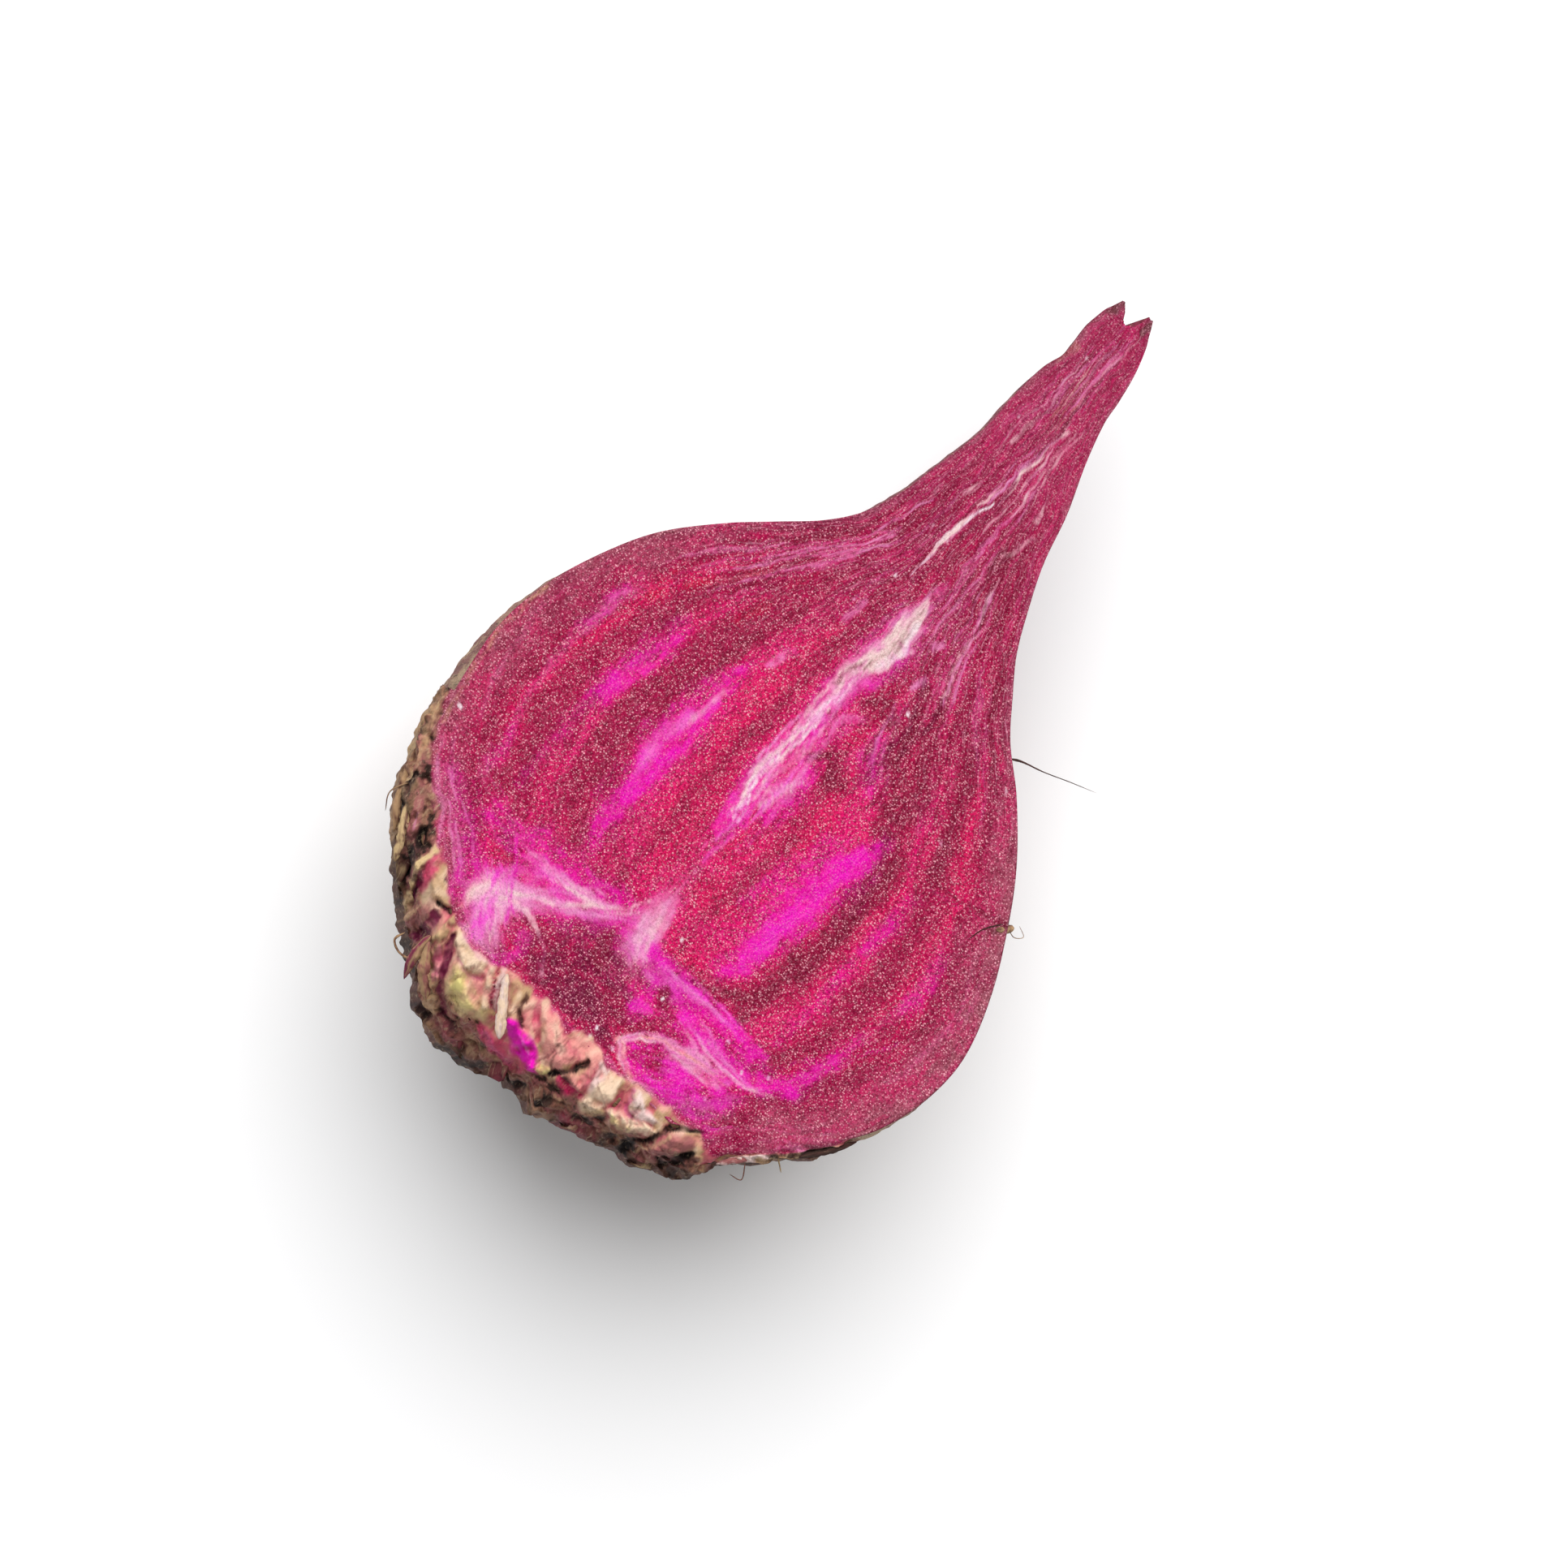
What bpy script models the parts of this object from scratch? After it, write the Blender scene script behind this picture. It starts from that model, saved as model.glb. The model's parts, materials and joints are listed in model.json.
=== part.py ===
# Half a beetroot, cut lengthwise, lying on its rounded back with the cut face up.
#
# The whole beet is grown first, as a row of closed rings along its length, and a straight knife cut then
# takes the upper part away. The beet frame has x from the crown towards the tail, y to the left across the
# cut face and z out of it, with the cut at z = 0. An empty tilts that frame to the way the half lies on a
# board, where its tail end hangs lower than its crown.

import math
import random

import bmesh
import bpy
from mathutils import Vector, noise

MM = 0.001

# The edge of the cut face: distance along the beet, left edge and right edge, in mm
ROOT_OUTLINE = (
    (-30.0, 15.0, -17.2),
    (-27.0, 19.4, -22.2),
    (-24.5, 22.8, -25.8),
    (-21.5, 26.2, -29.6),
    (-18.0, 29.4, -32.9),
    (-14.0, 31.6, -35.2),
    (-8.0, 33.0, -36.8),
    (-2.0, 33.7, -36.8),
    (5.0, 32.9, -34.6),
    (12.0, 30.6, -31.0),
    (18.0, 27.6, -27.1),
    (24.0, 22.8, -21.8),
    (28.0, 18.9, -17.3),
    (32.0, 15.0, -14.1),
    (36.0, 12.3, -11.2),
    (41.0, 10.6, -8.7),
    (46.0, 9.7, -6.6),
    (52.0, 8.7, -4.9),
    (58.0, 8.7, -2.6),
    (63.0, 8.3, -1.1),
    (66.0, 7.6, -0.7),
    (70.0, 7.9, 0.1),
    (74.0, 7.4, 1.5),
    (75.6, 6.9, 2.4),
)
DEPTH_RATIO = (0.90, 0.98)  # depth of a ring over its width, at the crown and from FULLEST on
FULLEST = 16.0  # where along the beet its back is fullest for its width
CROWN_DROP = 9.5  # how far the beet's own axis runs below the cut at the crown
TAIL_DROP = 0.3
CROWN_DOME = 0.9  # how far the root's crown end bulges
CAP_EDGE = -20.0  # the cap of old stalk bases reaches this far down the shoulder
CAP_THICKNESS = 1.1
CAP_DOME = ((1.0, 0.4), (0.93, 1.5), (0.78, 2.5), (0.5, 3.3), (0.2, 3.7))  # share of the crown's radius, height

TAIL_HOLLOW = ((76.1, 1.75), (75.5, 1.2), (74.3, 1.0))  # the broken tip: position and half-width
TAIL_HOLLOW_END = 73.6
TAIL_HOLLOW_SIDE = 4.6  # the hollow's middle, across

LUMP_HEIGHT = 0.45  # the gentle unevenness of the skin
LUMP_SIZE = 15.0
FURROW_DEPTH = 0.35  # the ring-like scars round the beet's shoulder
FURROW_SPACING = 5.5

SKIN_GAP = 0.3  # between the root and the stalk stubs that grow on it
STUB_COUNT = 38
TURN = math.radians(137.5)  # from one leaf to the next round the crown
FIRST_TURN = math.radians(20.0)
STUB_SPREAD = 1.0  # how far from the crown's middle the outermost stub stands, over the crown's radius
STUB_LENGTH = (2.6, 3.6)  # innermost and outermost
STUB_WIDTH = (3.6, 10.0)
STUB_THICKNESS = (1.8, 2.6)
STUB_LEAN = (math.radians(4), math.radians(50))
STUB_NARROWING = 0.22
STUB_ROOTED = 1.6  # how deep a stub's foot is sunk in the crown
TALL_SIDE = math.radians(-55)  # the side of the crown, from +y towards +z, where the stubs were left longest
TALL_EXTRA = 1.3
SCALE_COUNT = 21  # dry leaf bases that lie on the shoulder, pointing at the crown
SCALE_PLACE = (-24.5, -21.5)
SCALE_LENGTH = (4.5, 7.0)
SCALE_WIDTH = (8.0, 11.0)
SCALE_THICKNESS = 2.0
SCALE_LEAN = math.radians(-29)
SCALE_NARROWING = 0.55
STEPS_ACROSS = 6
STEPS_UP = 3
SEED = 7

RING_SIDES = 44
RING_TURN = 0.37  # of a side, so that no corner lies on the knife cut
ROOT_STEP = 3.2  # spacing of the rings along the root

REST_TILT = math.radians(14.0)  # how far the tail end hangs down as the half lies
FLAT_DEPTH = 0.7  # how much the contact with the board flattens the back
KNIFE_SIZE = 200.0

COLOURS = {  # colour, roughness
    "root_half": ((0.42, 0.03, 0.13, 1.0), 0.45),
    "leaf_stalk_stubs": ((0.33, 0.21, 0.13, 1.0), 0.8),
}


def clear_scene():
    for thing in list(bpy.data.objects):
        bpy.data.objects.remove(thing, do_unlink=True)


def blend(low, high, share):
    return low + (high - low) * share


def curve_through(points, x):
    """The left and right edge at x, on a smooth curve through an outline's points."""
    ordered = sorted(points)
    x = min(max(x, ordered[0][0]), ordered[-1][0])
    i = max(k for k in range(len(ordered) - 1) if ordered[k][0] <= x)
    around = [ordered[max(0, min(len(ordered) - 1, k))] for k in (i - 1, i, i + 1, i + 2)]
    span = around[2][0] - around[1][0]
    t = (x - around[1][0]) / span
    edges = []
    for side in (1, 2):
        before, start, end, after = (p[side] for p in around)
        slope_in = (end - before) / max(around[2][0] - around[0][0], span) * span
        slope_out = (after - start) / max(around[3][0] - around[1][0], span) * span
        edges.append(
            (2 * t**3 - 3 * t**2 + 1) * start
            + (t**3 - 2 * t**2 + t) * slope_in
            + (3 * t**2 - 2 * t**3) * end
            + (t**3 - t**2) * slope_out
        )
    return edges


def axis_drop(x):
    """How far the beet's own axis lies below the cut at x."""
    share = (x - ROOT_OUTLINE[0][0]) / (ROOT_OUTLINE[-1][0] - ROOT_OUTLINE[0][0])
    return blend(CROWN_DROP, TAIL_DROP, min(max(share, 0.0), 1.0) ** 0.7)


def ring_shape(x):
    """Middle across, middle height, half-width and half-depth of the ring at x, from the cut through it."""
    left, right = curve_through(ROOT_OUTLINE, x)
    drop = axis_drop(x)
    first = ROOT_OUTLINE[0][0]
    ratio = blend(*DEPTH_RATIO, min(1.0, (x - first) / (FULLEST - first)))
    half_width = math.hypot((left - right) / 2, drop / ratio)
    return (left + right) / 2, -drop, half_width, half_width * ratio


def ring(x, shape, grow=0.0):
    """The points of one ring, anticlockwise seen from the tail, made larger all round by grow."""
    across, height, half_width, half_depth = shape
    points = []
    for k in range(RING_SIDES):
        angle = 2 * math.pi * (k + RING_TURN) / RING_SIDES
        points.append(
            Vector(
                (
                    x,
                    across + (half_width + grow) * math.cos(angle),
                    height + (half_depth + grow) * math.sin(angle),
                )
            )
        )
    return points


def uneven(point, shape):
    """Moves a skin point in or out by the lumps and shoulder furrows of a grown root, away from the cut edge."""
    across, height, half_width, half_depth = shape
    out = Vector((0, point.y - across, point.z - height))
    away = min(1.0, abs(out.z - (-height)) / (0.5 * half_depth))
    lump = LUMP_HEIGHT * noise.noise(point / LUMP_SIZE)
    shoulder = max(0.0, 1 - abs(point.x + 12) / 16)
    furrow = -FURROW_DEPTH * shoulder * math.cos(2 * math.pi * point.x / FURROW_SPACING) ** 8
    size = min(1.0, half_width / 15)
    return point + out.normalized() * (lump + furrow) * away * size


def loft(name, rings, start, end):
    """A closed mesh object through rings of points, closed at both ends to a point."""
    shell, rows = wall(rings)
    for row, tip in ((rows[0], start), (rows[-1], end)):
        middle = shell.verts.new(tip * MM)
        for k in range(len(row)):
            shell.faces.new((row[k], row[(k + 1) % len(row)], middle))
    bmesh.ops.recalc_face_normals(shell, faces=shell.faces)
    return mesh_object(name, shell)


def blade(name, rings):
    """A closed mesh object through flat rings of points, each end closed from one long side to the other."""
    shell, rows = wall(rings)
    for row in (rows[0], rows[-1]):
        for k in range(len(row) // 2 - 1):
            shell.faces.new((row[k], row[k + 1], row[-2 - k], row[-1 - k]))
    bmesh.ops.recalc_face_normals(shell, faces=shell.faces)
    return mesh_object(name, shell)


def wall(rings):
    shell = bmesh.new()
    rows = [[shell.verts.new(p * MM) for p in row] for row in rings]
    for row, following in zip(rows, rows[1:]):
        for k in range(len(row)):
            after = (k + 1) % len(row)
            shell.faces.new((row[k], row[after], following[after], following[k]))
    return shell, rows


def mesh_object(name, shell):
    mesh = bpy.data.meshes.new(name)
    shell.to_mesh(mesh)
    shell.free()
    made = bpy.data.objects.new(name, mesh)
    bpy.context.scene.collection.objects.link(made)
    return made


def root_stations():
    first, last = ROOT_OUTLINE[0][0], ROOT_OUTLINE[-1][0]
    count = round((last - first) / ROOT_STEP)
    return [blend(first, last, k / count) for k in range(count + 1)]


def grow_root(name, gap=0.0):
    """The whole swollen root, from its crown end to the broken tip of its tail, made larger all round by gap."""
    rings = []
    first = ROOT_OUTLINE[0][0]
    across, height, half_width, half_depth = ring_shape(first)
    for share in (0.45, 0.85):
        inner = (across, height, half_width * share, half_depth * share)
        rings.append(ring(first - CROWN_DOME * (1 - share**2) - gap, inner, gap))
    for x in root_stations():
        shape = ring_shape(x)
        rings.append([uneven(p, shape) for p in ring(x, shape, gap)])
    for x, half in TAIL_HOLLOW:
        rings.append(ring(x, (TAIL_HOLLOW_SIDE, -TAIL_DROP, half, half)))
    start = Vector((first - CROWN_DOME - gap, across, height))
    end = Vector((TAIL_HOLLOW_END, TAIL_HOLLOW_SIDE, -TAIL_DROP))
    return loft(name, rings, start, end)


def grow_crown_cap():
    """The rough cap of old stalk bases that covers the root's crown end."""
    first = ROOT_OUTLINE[0][0]
    across, height, half_width, half_depth = ring_shape(first)
    rings = []
    for share, rise in reversed(CAP_DOME):
        shape = (across, height, half_width * share, half_depth * share)
        rings.append(ring(first - rise, shape, CAP_THICKNESS))
    steps = 4
    for k in range(steps + 1):
        x = blend(first, CAP_EDGE, k / steps)
        shape = ring_shape(x)
        rings.append([uneven(p, shape) for p in ring(x, shape, CAP_THICKNESS)])
    top = Vector((first - CAP_DOME[-1][1] - 0.1, across, height))
    foot = Vector((CAP_EDGE - 0.1, across, height))
    return loft("leaf_stalk_stubs", rings, top, foot)


def leaf_base(name, foot, angle, lean, size, narrowing):
    """A cut or dried leaf-stalk base: an arched blade, hollow towards the crown's middle, with a ragged top."""
    width, length, thick = size
    out = Vector((0, math.cos(angle), math.sin(angle)))
    side = Vector((0, -out.z, out.y))
    up = Vector((-1, 0, 0))
    rise = up * math.cos(lean) + out * math.sin(lean)
    away = up * -math.sin(lean) + out * math.cos(lean)
    arch = width * 0.62
    rows = []
    for j in range(STEPS_UP + 1):
        height = j / STEPS_UP
        reach = (width / 2) * (1 - narrowing * height) / arch
        inside, outside = [], []
        for i in range(STEPS_ACROSS + 1):
            across = 2 * i / STEPS_ACROSS - 1
            turn = across * reach
            ragged = 1 + 0.18 * height * noise.noise(Vector((across * 2.2, foot.y, foot.z)))
            along = height * (length + STUB_ROOTED) * ragged - STUB_ROOTED
            spot = foot + rise * along + side * arch * math.sin(turn) + away * arch * (math.cos(turn) - 1)
            normal = side * math.sin(turn) + away * math.cos(turn)
            half = 0.5 * thick * (1 - 0.55 * across**2) * (1 - 0.35 * height)
            outside.append(spot + normal * half)
            inside.append(spot - normal * half)
        rows.append(outside + inside[::-1])
    return blade(name, rows)


def crown_stub(number, chance):
    share = math.sqrt((number + 0.5) / STUB_COUNT)
    angle = FIRST_TURN + number * TURN + chance.uniform(-0.12, 0.12)
    width = blend(*STUB_WIDTH, share) * chance.uniform(0.85, 1.1)
    length = blend(*STUB_LENGTH, share) * chance.uniform(0.75, 1.2)
    length += TALL_EXTRA * share * max(0.0, math.cos(angle - TALL_SIDE))
    size = (width, length, blend(*STUB_THICKNESS, share))
    foot = crown_surface(STUB_SPREAD * share, angle)
    return leaf_base(f"stub_{number}", foot, angle, blend(*STUB_LEAN, share**2), size, STUB_NARROWING)


def shoulder_scale(number, chance):
    angle = 2 * math.pi * (number + chance.uniform(-0.3, 0.3)) / SCALE_COUNT
    x = chance.uniform(*SCALE_PLACE)
    across, height, half_width, half_depth = ring_shape(x)
    foot = Vector((x, across + half_width * math.cos(angle), height + half_depth * math.sin(angle)))
    foot += Vector((0, math.cos(angle), math.sin(angle))) * 0.8 * CAP_THICKNESS
    size = (chance.uniform(*SCALE_WIDTH), chance.uniform(*SCALE_LENGTH), SCALE_THICKNESS)
    return leaf_base(f"scale_{number}", foot, angle, SCALE_LEAN, size, SCALE_NARROWING)


def crown_surface(share, angle):
    """The spot on the cap at this share of the crown's radius and this angle round its middle."""
    first = ROOT_OUTLINE[0][0]
    across, height, half_width, half_depth = ring_shape(first)
    middle = Vector((0, across, height))
    rim = Vector((0, half_width * math.cos(angle), half_depth * math.sin(angle)))
    dome = ((0.0, CAP_DOME[-1][1]), *reversed(CAP_DOME))
    rise = dome[-1][1]
    for (share_in, high), (share_out, low) in zip(dome, dome[1:]):
        if share_in <= share <= share_out:
            rise = blend(high, low, (share - share_in) / (share_out - share_in))
    return middle + rim * share + Vector((first - rise, 0, 0))


def join_stubs(cap):
    """Fuses the stubs with the cap they grow from, into one closed solid."""
    chance = random.Random(SEED)
    stubs = bpy.data.collections.new("stubs")
    bpy.context.scene.collection.children.link(stubs)
    bases = [crown_stub(number, chance) for number in range(STUB_COUNT)]
    bases += [shoulder_scale(number, chance) for number in range(SCALE_COUNT)]
    for made in bases:
        bpy.context.scene.collection.objects.unlink(made)
        stubs.objects.link(made)
    union = cap.modifiers.new("join", "BOOLEAN")
    union.operation = "UNION"
    union.operand_type = "COLLECTION"
    union.collection = stubs
    union.solver = "MANIFOLD"
    graph = bpy.context.evaluated_depsgraph_get()
    joined = bpy.data.meshes.new_from_object(cap.evaluated_get(graph))
    cap.modifiers.clear()
    cap.data = joined
    for made in list(stubs.objects):
        bpy.data.objects.remove(made, do_unlink=True)
    bpy.data.collections.remove(stubs)


def block(name, size, centre):
    """A plain cutter that only its Boolean uses."""
    shell = bmesh.new()
    bmesh.ops.create_cube(shell, size=size * MM)
    bmesh.ops.translate(shell, vec=Vector(centre) * MM, verts=shell.verts)
    made = mesh_object(name, shell)
    made.hide_render = True
    made.display_type = "WIRE"
    return made


def cut_by(thing, cutter, solver="EXACT"):
    cut = thing.modifiers.new(cutter.name, "BOOLEAN")
    cut.operation = "DIFFERENCE"
    cut.solver = solver
    cut.object = cutter


def paint(thing):
    colour, roughness = COLOURS[thing.name]
    material = bpy.data.materials.new(thing.name)
    material.use_nodes = True
    shader = material.node_tree.nodes["Principled BSDF"]
    shader.inputs["Base Color"].default_value = colour
    shader.inputs["Roughness"].default_value = roughness
    shader.inputs["Metallic"].default_value = 0.0
    thing.data.materials.clear()
    thing.data.materials.append(material)
    thing.data.shade_smooth()
    thing.data.set_sharp_from_angle(angle=math.radians(40))


def lay_down(things, back):
    """Tilts the half to its resting pose and sets the flattened spot of its back on the board, at the origin."""
    pose = bpy.data.objects.new("resting_pose", None)
    bpy.context.scene.collection.objects.link(pose)
    pose.rotation_euler = (0, REST_TILT, 0)
    turn = pose.rotation_euler.to_matrix()
    lowest = min((turn @ v.co for v in back.data.vertices), key=lambda p: p.z)
    pose.location = (-lowest.x, 0, -lowest.z - FLAT_DEPTH * MM)
    for thing in things:
        thing.parent = pose


def main():
    clear_scene()
    root = grow_root("root_half")
    room = grow_root("room_for_root", SKIN_GAP)
    room.hide_render = True
    room.display_type = "WIRE"
    stubs = grow_crown_cap()
    join_stubs(stubs)
    knife = block("knife", KNIFE_SIZE, (0, 0, KNIFE_SIZE / 2))
    board = block("board", KNIFE_SIZE, (0, 0, -KNIFE_SIZE / 2))
    for thing in (root, stubs):
        paint(thing)
        cut_by(thing, knife, "MANIFOLD")
    cut_by(stubs, room, "MANIFOLD")
    cut_by(root, board)
    lay_down((root, stubs, knife, room), root)


main()
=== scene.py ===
import json
import math
import random

import bmesh
import bpy
import numpy as np
from mathutils import Matrix, Vector, noise


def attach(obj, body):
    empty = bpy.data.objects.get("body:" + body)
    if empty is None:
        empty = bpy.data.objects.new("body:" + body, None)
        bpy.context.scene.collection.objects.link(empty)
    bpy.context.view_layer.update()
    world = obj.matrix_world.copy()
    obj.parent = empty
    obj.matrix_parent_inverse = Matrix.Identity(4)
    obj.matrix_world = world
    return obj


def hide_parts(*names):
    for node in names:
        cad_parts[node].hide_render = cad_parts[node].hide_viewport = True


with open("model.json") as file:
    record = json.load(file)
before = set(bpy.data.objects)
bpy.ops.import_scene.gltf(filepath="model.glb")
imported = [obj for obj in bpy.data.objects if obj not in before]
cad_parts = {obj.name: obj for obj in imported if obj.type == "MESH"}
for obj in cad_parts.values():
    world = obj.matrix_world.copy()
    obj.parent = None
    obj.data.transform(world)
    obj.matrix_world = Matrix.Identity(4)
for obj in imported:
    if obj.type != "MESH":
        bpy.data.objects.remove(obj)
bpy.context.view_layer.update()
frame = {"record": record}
mm = 0.001
paintDepth = 0.80  # the studio light is strong, so every tone is mixed darker than it looks

# The beet frame, in mm: x from crown to tail, y to the left across the cut face, z out of it from the cut
cutMount = next(mount for mount in frame["record"]["mounts"] if mount["name"] == "cut_face")
restTilt = math.atan2(cutMount["axis"][0], cutMount["axis"][2])
beetFrame = Matrix.Translation(Vector(cutMount["pos_m"])) @ Matrix.Rotation(restTilt, 4, "Y")
beetTurn = np.array(beetFrame.to_3x3())
beetOrigin = np.array(beetFrame.translation)
print("frame loaded, the half lies", round(math.degrees(restTilt), 1), "degrees tail down")

view = {
    "distance": 600.0,  # mm
    "target": (6.6, -1.4, 0.0),  # beet frame
    "pitch": 14.0,  # degrees towards the crown
    "roll": 5.0,  # degrees towards the left edge
    "turn": 48.0,  # degrees from the picture's right to the beet's own length
    "scale": 0.09,  # mm at the cut face to a pixel of the picture
    "picture": 1932,  # pixels
    "sensor": 36.0,
}
leanAlong = math.tan(math.radians(view["pitch"]))
leanAcross = math.tan(math.radians(view["roll"]))


# Small tools

def blend(low, high, share):
    return low + (high - low) * share


def smooth(value, low=0.0, high=1.0):
    t = np.clip((value - low) / (high - low), 0, 1)
    return t * t * (3 - 2 * t)


def toRow(points):
    return (np.asarray(points, float) * mm) @ beetTurn.T + beetOrigin


def srgb(red, green, blue):
    return np.array([red, green, blue]) / 255


def toLinear(colours):
    colours = np.clip(colours, 0, 1)
    return paintDepth * np.where(colours <= 0.04045, colours / 12.92, ((colours + 0.055) / 1.055) ** 2.4)


# The same soft noise in each run: a value from -1 to 1 at every corner of a grid, blended between them
def cornerValue(ix, iy, iz, seed):
    n = (ix * 374761393 + iy * 668265263 + iz * 1440662683 + seed * 1274126177) & 0xFFFFFFFF
    n = ((n ^ (n >> 13)) * 1274126177) & 0xFFFFFFFF
    return ((n ^ (n >> 16)) & 0xFFFF) / 32767.5 - 1


def noiseAt(points, size, seed=0):
    p = np.asarray(points, float) / size
    cell = np.floor(p).astype(np.int64)
    f = p - cell
    f = f * f * (3 - 2 * f)
    total = 0.0
    for dx in (0, 1):
        for dy in (0, 1):
            for dz in (0, 1):
                weight = np.abs(1 - dx - f[:, 0]) * np.abs(1 - dy - f[:, 1]) * np.abs(1 - dz - f[:, 2])
                corner = cornerValue(cell[:, 0] + dx, cell[:, 1] + dy, cell[:, 2] + dz, seed)
                total = total + weight * corner
    return total


def roughNoise(points, size, seed=0, octaves=4):
    total, height = 0.0, 1.0
    for k in range(octaves):
        total = total + height * noiseAt(points, size / 2**k, seed + 17 * k)
        height *= 0.5
    return total


def flat(x, y, z=0.0):
    return np.stack([x, y, np.broadcast_to(z, np.shape(x))], 1)


# The form of the root, as it was grown before the cut

root = {
    "outline": (  # along the beet, left edge of the cut, right edge
        (-30.0, 15.0, -17.2),
        (-27.0, 19.4, -22.2),
        (-24.5, 22.8, -25.8),
        (-21.5, 26.2, -29.6),
        (-18.0, 29.4, -32.9),
        (-14.0, 31.6, -35.2),
        (-8.0, 33.0, -36.8),
        (-2.0, 33.7, -36.8),
        (5.0, 32.9, -34.6),
        (12.0, 30.6, -31.0),
        (18.0, 27.6, -27.1),
        (24.0, 22.8, -21.8),
        (28.0, 18.9, -17.3),
        (32.0, 15.0, -14.1),
        (36.0, 12.3, -11.2),
        (41.0, 10.6, -8.7),
        (46.0, 9.7, -6.6),
        (52.0, 8.7, -4.9),
        (58.0, 8.7, -2.6),
        (63.0, 8.3, -1.1),
        (66.0, 7.6, -0.7),
        (70.0, 7.9, 0.1),
        (74.0, 7.4, 1.5),
        (75.6, 6.9, 2.4),
    ),
    "depthRatio": (0.90, 0.98),  # depth to width, at the crown and from the fullest place on
    "fullest": 16.0,
    "crownDrop": 9.5,  # how far below the cut the widest level lies
    "tailDrop": 0.3,
    "tipNotch": (  # share across from right to left, where the broken tip ends there
        (-1.0, 75.2), (-0.93, 75.9), (-0.62, 75.9), (-0.54, 74.8), (-0.42, 73.9), (0.0, 73.4),
        (0.26, 73.5), (0.36, 74.2), (0.56, 74.8), (0.80, 75.3), (0.94, 75.2), (1.0, 74.5),
    ),
    "notchFrom": 72.5,
    "tipBottom": (73.3, 4.75, -1.2),
    "lumps": (0.45, 15.0),  # height, size
    "furrows": (0.35, 5.5),  # depth, spacing
    "bark": 0.16,  # height of the skin's fine roughness
    "stations": 364,
    "cutSides": 216,
    "skinSides": 54,
}
rootFirst = root["outline"][0][0]
rootLast = root["outline"][-1][0]


def edgesAt(x):
    places = np.array(root["outline"])
    x = np.clip(x, rootFirst, rootLast)
    i = np.clip(np.searchsorted(places[:, 0], x, "right") - 1, 0, len(places) - 2)
    before, after = np.maximum(i - 1, 0), np.minimum(i + 2, len(places) - 1)
    span = places[i + 1, 0] - places[i, 0]
    t = (x - places[i, 0]) / span
    edges = []
    for side in (1, 2):
        edge = places[:, side]
        slopeIn = (edge[i + 1] - edge[before]) / (places[i + 1, 0] - places[before, 0]) * span
        slopeOut = (edge[after] - edge[i]) / (places[after, 0] - places[i, 0]) * span
        edges.append(
            (2 * t**3 - 3 * t**2 + 1) * edge[i]
            + (t**3 - 2 * t**2 + t) * slopeIn
            + (3 * t**2 - 2 * t**3) * edge[i + 1]
            + (t**3 - t**2) * slopeOut
        )
    return edges


def ringAt(x):  # middle across, middle height, half-width, half-depth
    x = np.asarray(x, float)
    left, right = edgesAt(x)
    share = np.clip((x - rootFirst) / (rootLast - rootFirst), 0, 1)
    drop = blend(root["crownDrop"], root["tailDrop"], share**0.7)
    ratio = blend(*root["depthRatio"], np.minimum(1.0, (x - rootFirst) / (root["fullest"] - rootFirst)))
    halfWidth = np.hypot((left - right) / 2, drop / ratio)
    return (left + right) / 2, -drop, halfWidth, halfWidth * ratio


# Painting the flesh: tones laid down along strokes, in the way the tissue grew

tones = {
    "wineDark": srgb(128, 0, 46),
    "wine": srgb(156, 2, 62),
    "wineRed": srgb(186, 2, 76),
    "pith": srgb(92, 0, 44),
    "crimson": srgb(222, 0, 90),
    "rose": srgb(228, 6, 112),
    "red": srgb(214, 0, 58),
    "magenta": srgb(238, 0, 186),
    "hotPink": srgb(250, 60, 212),
    "palePink": srgb(238, 158, 206),
    "rosePink": srgb(222, 96, 152),
    "cream": srgb(244, 216, 210),
    "white": srgb(252, 246, 248),
    "warmCream": srgb(250, 218, 188),
    "salmon": srgb(240, 158, 150),
    "mauve": srgb(168, 60, 90),
    "rim": srgb(160, 94, 104),
    "mauvePink": srgb(200, 92, 152),
    "tail": srgb(184, 66, 104),
    "brown": srgb(92, 52, 48),
    "tan": srgb(200, 160, 120),
    "skinWarm": srgb(172, 126, 108),
    "skinPale": srgb(196, 164, 132),
    "tailSkin": srgb(134, 50, 76),
    "tailSkinPale": srgb(164, 84, 104),
    "tipSkin": srgb(84, 50, 44),
}
paleTones = ("palePink", "cream", "warmCream", "salmon", "rosePink", "magenta", "hotPink", "white")
flesh = {
    "reach": 34.0,  # mm from the middle to the rim at the widest place
    "bandReach": (34.3, 37.0),  # the same as the two tables of bands count it, left and right
    "bendFrom": -3.0,  # behind this the bands bend round towards the crown
    "bendSway": 14.0,
    "neck": (14, 34),  # where the bands give way to the fibres of the neck
    "tail": (36, 58),
    "rim": (0.86, 1.0),  # share of the way out
    "darkBoost": 1.25,  # how much stronger the dark strokes are laid down
    "grainSparkleOnPale": 0.34,  # share of the granules, with their painted sparkle, that stay on pale tissue, and in the neck
    "grainSparkleInNeck": 0.62,
    "streaks": (0.08, 0.50),  # strength of the fine threads, in the body and in the neck
}

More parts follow.
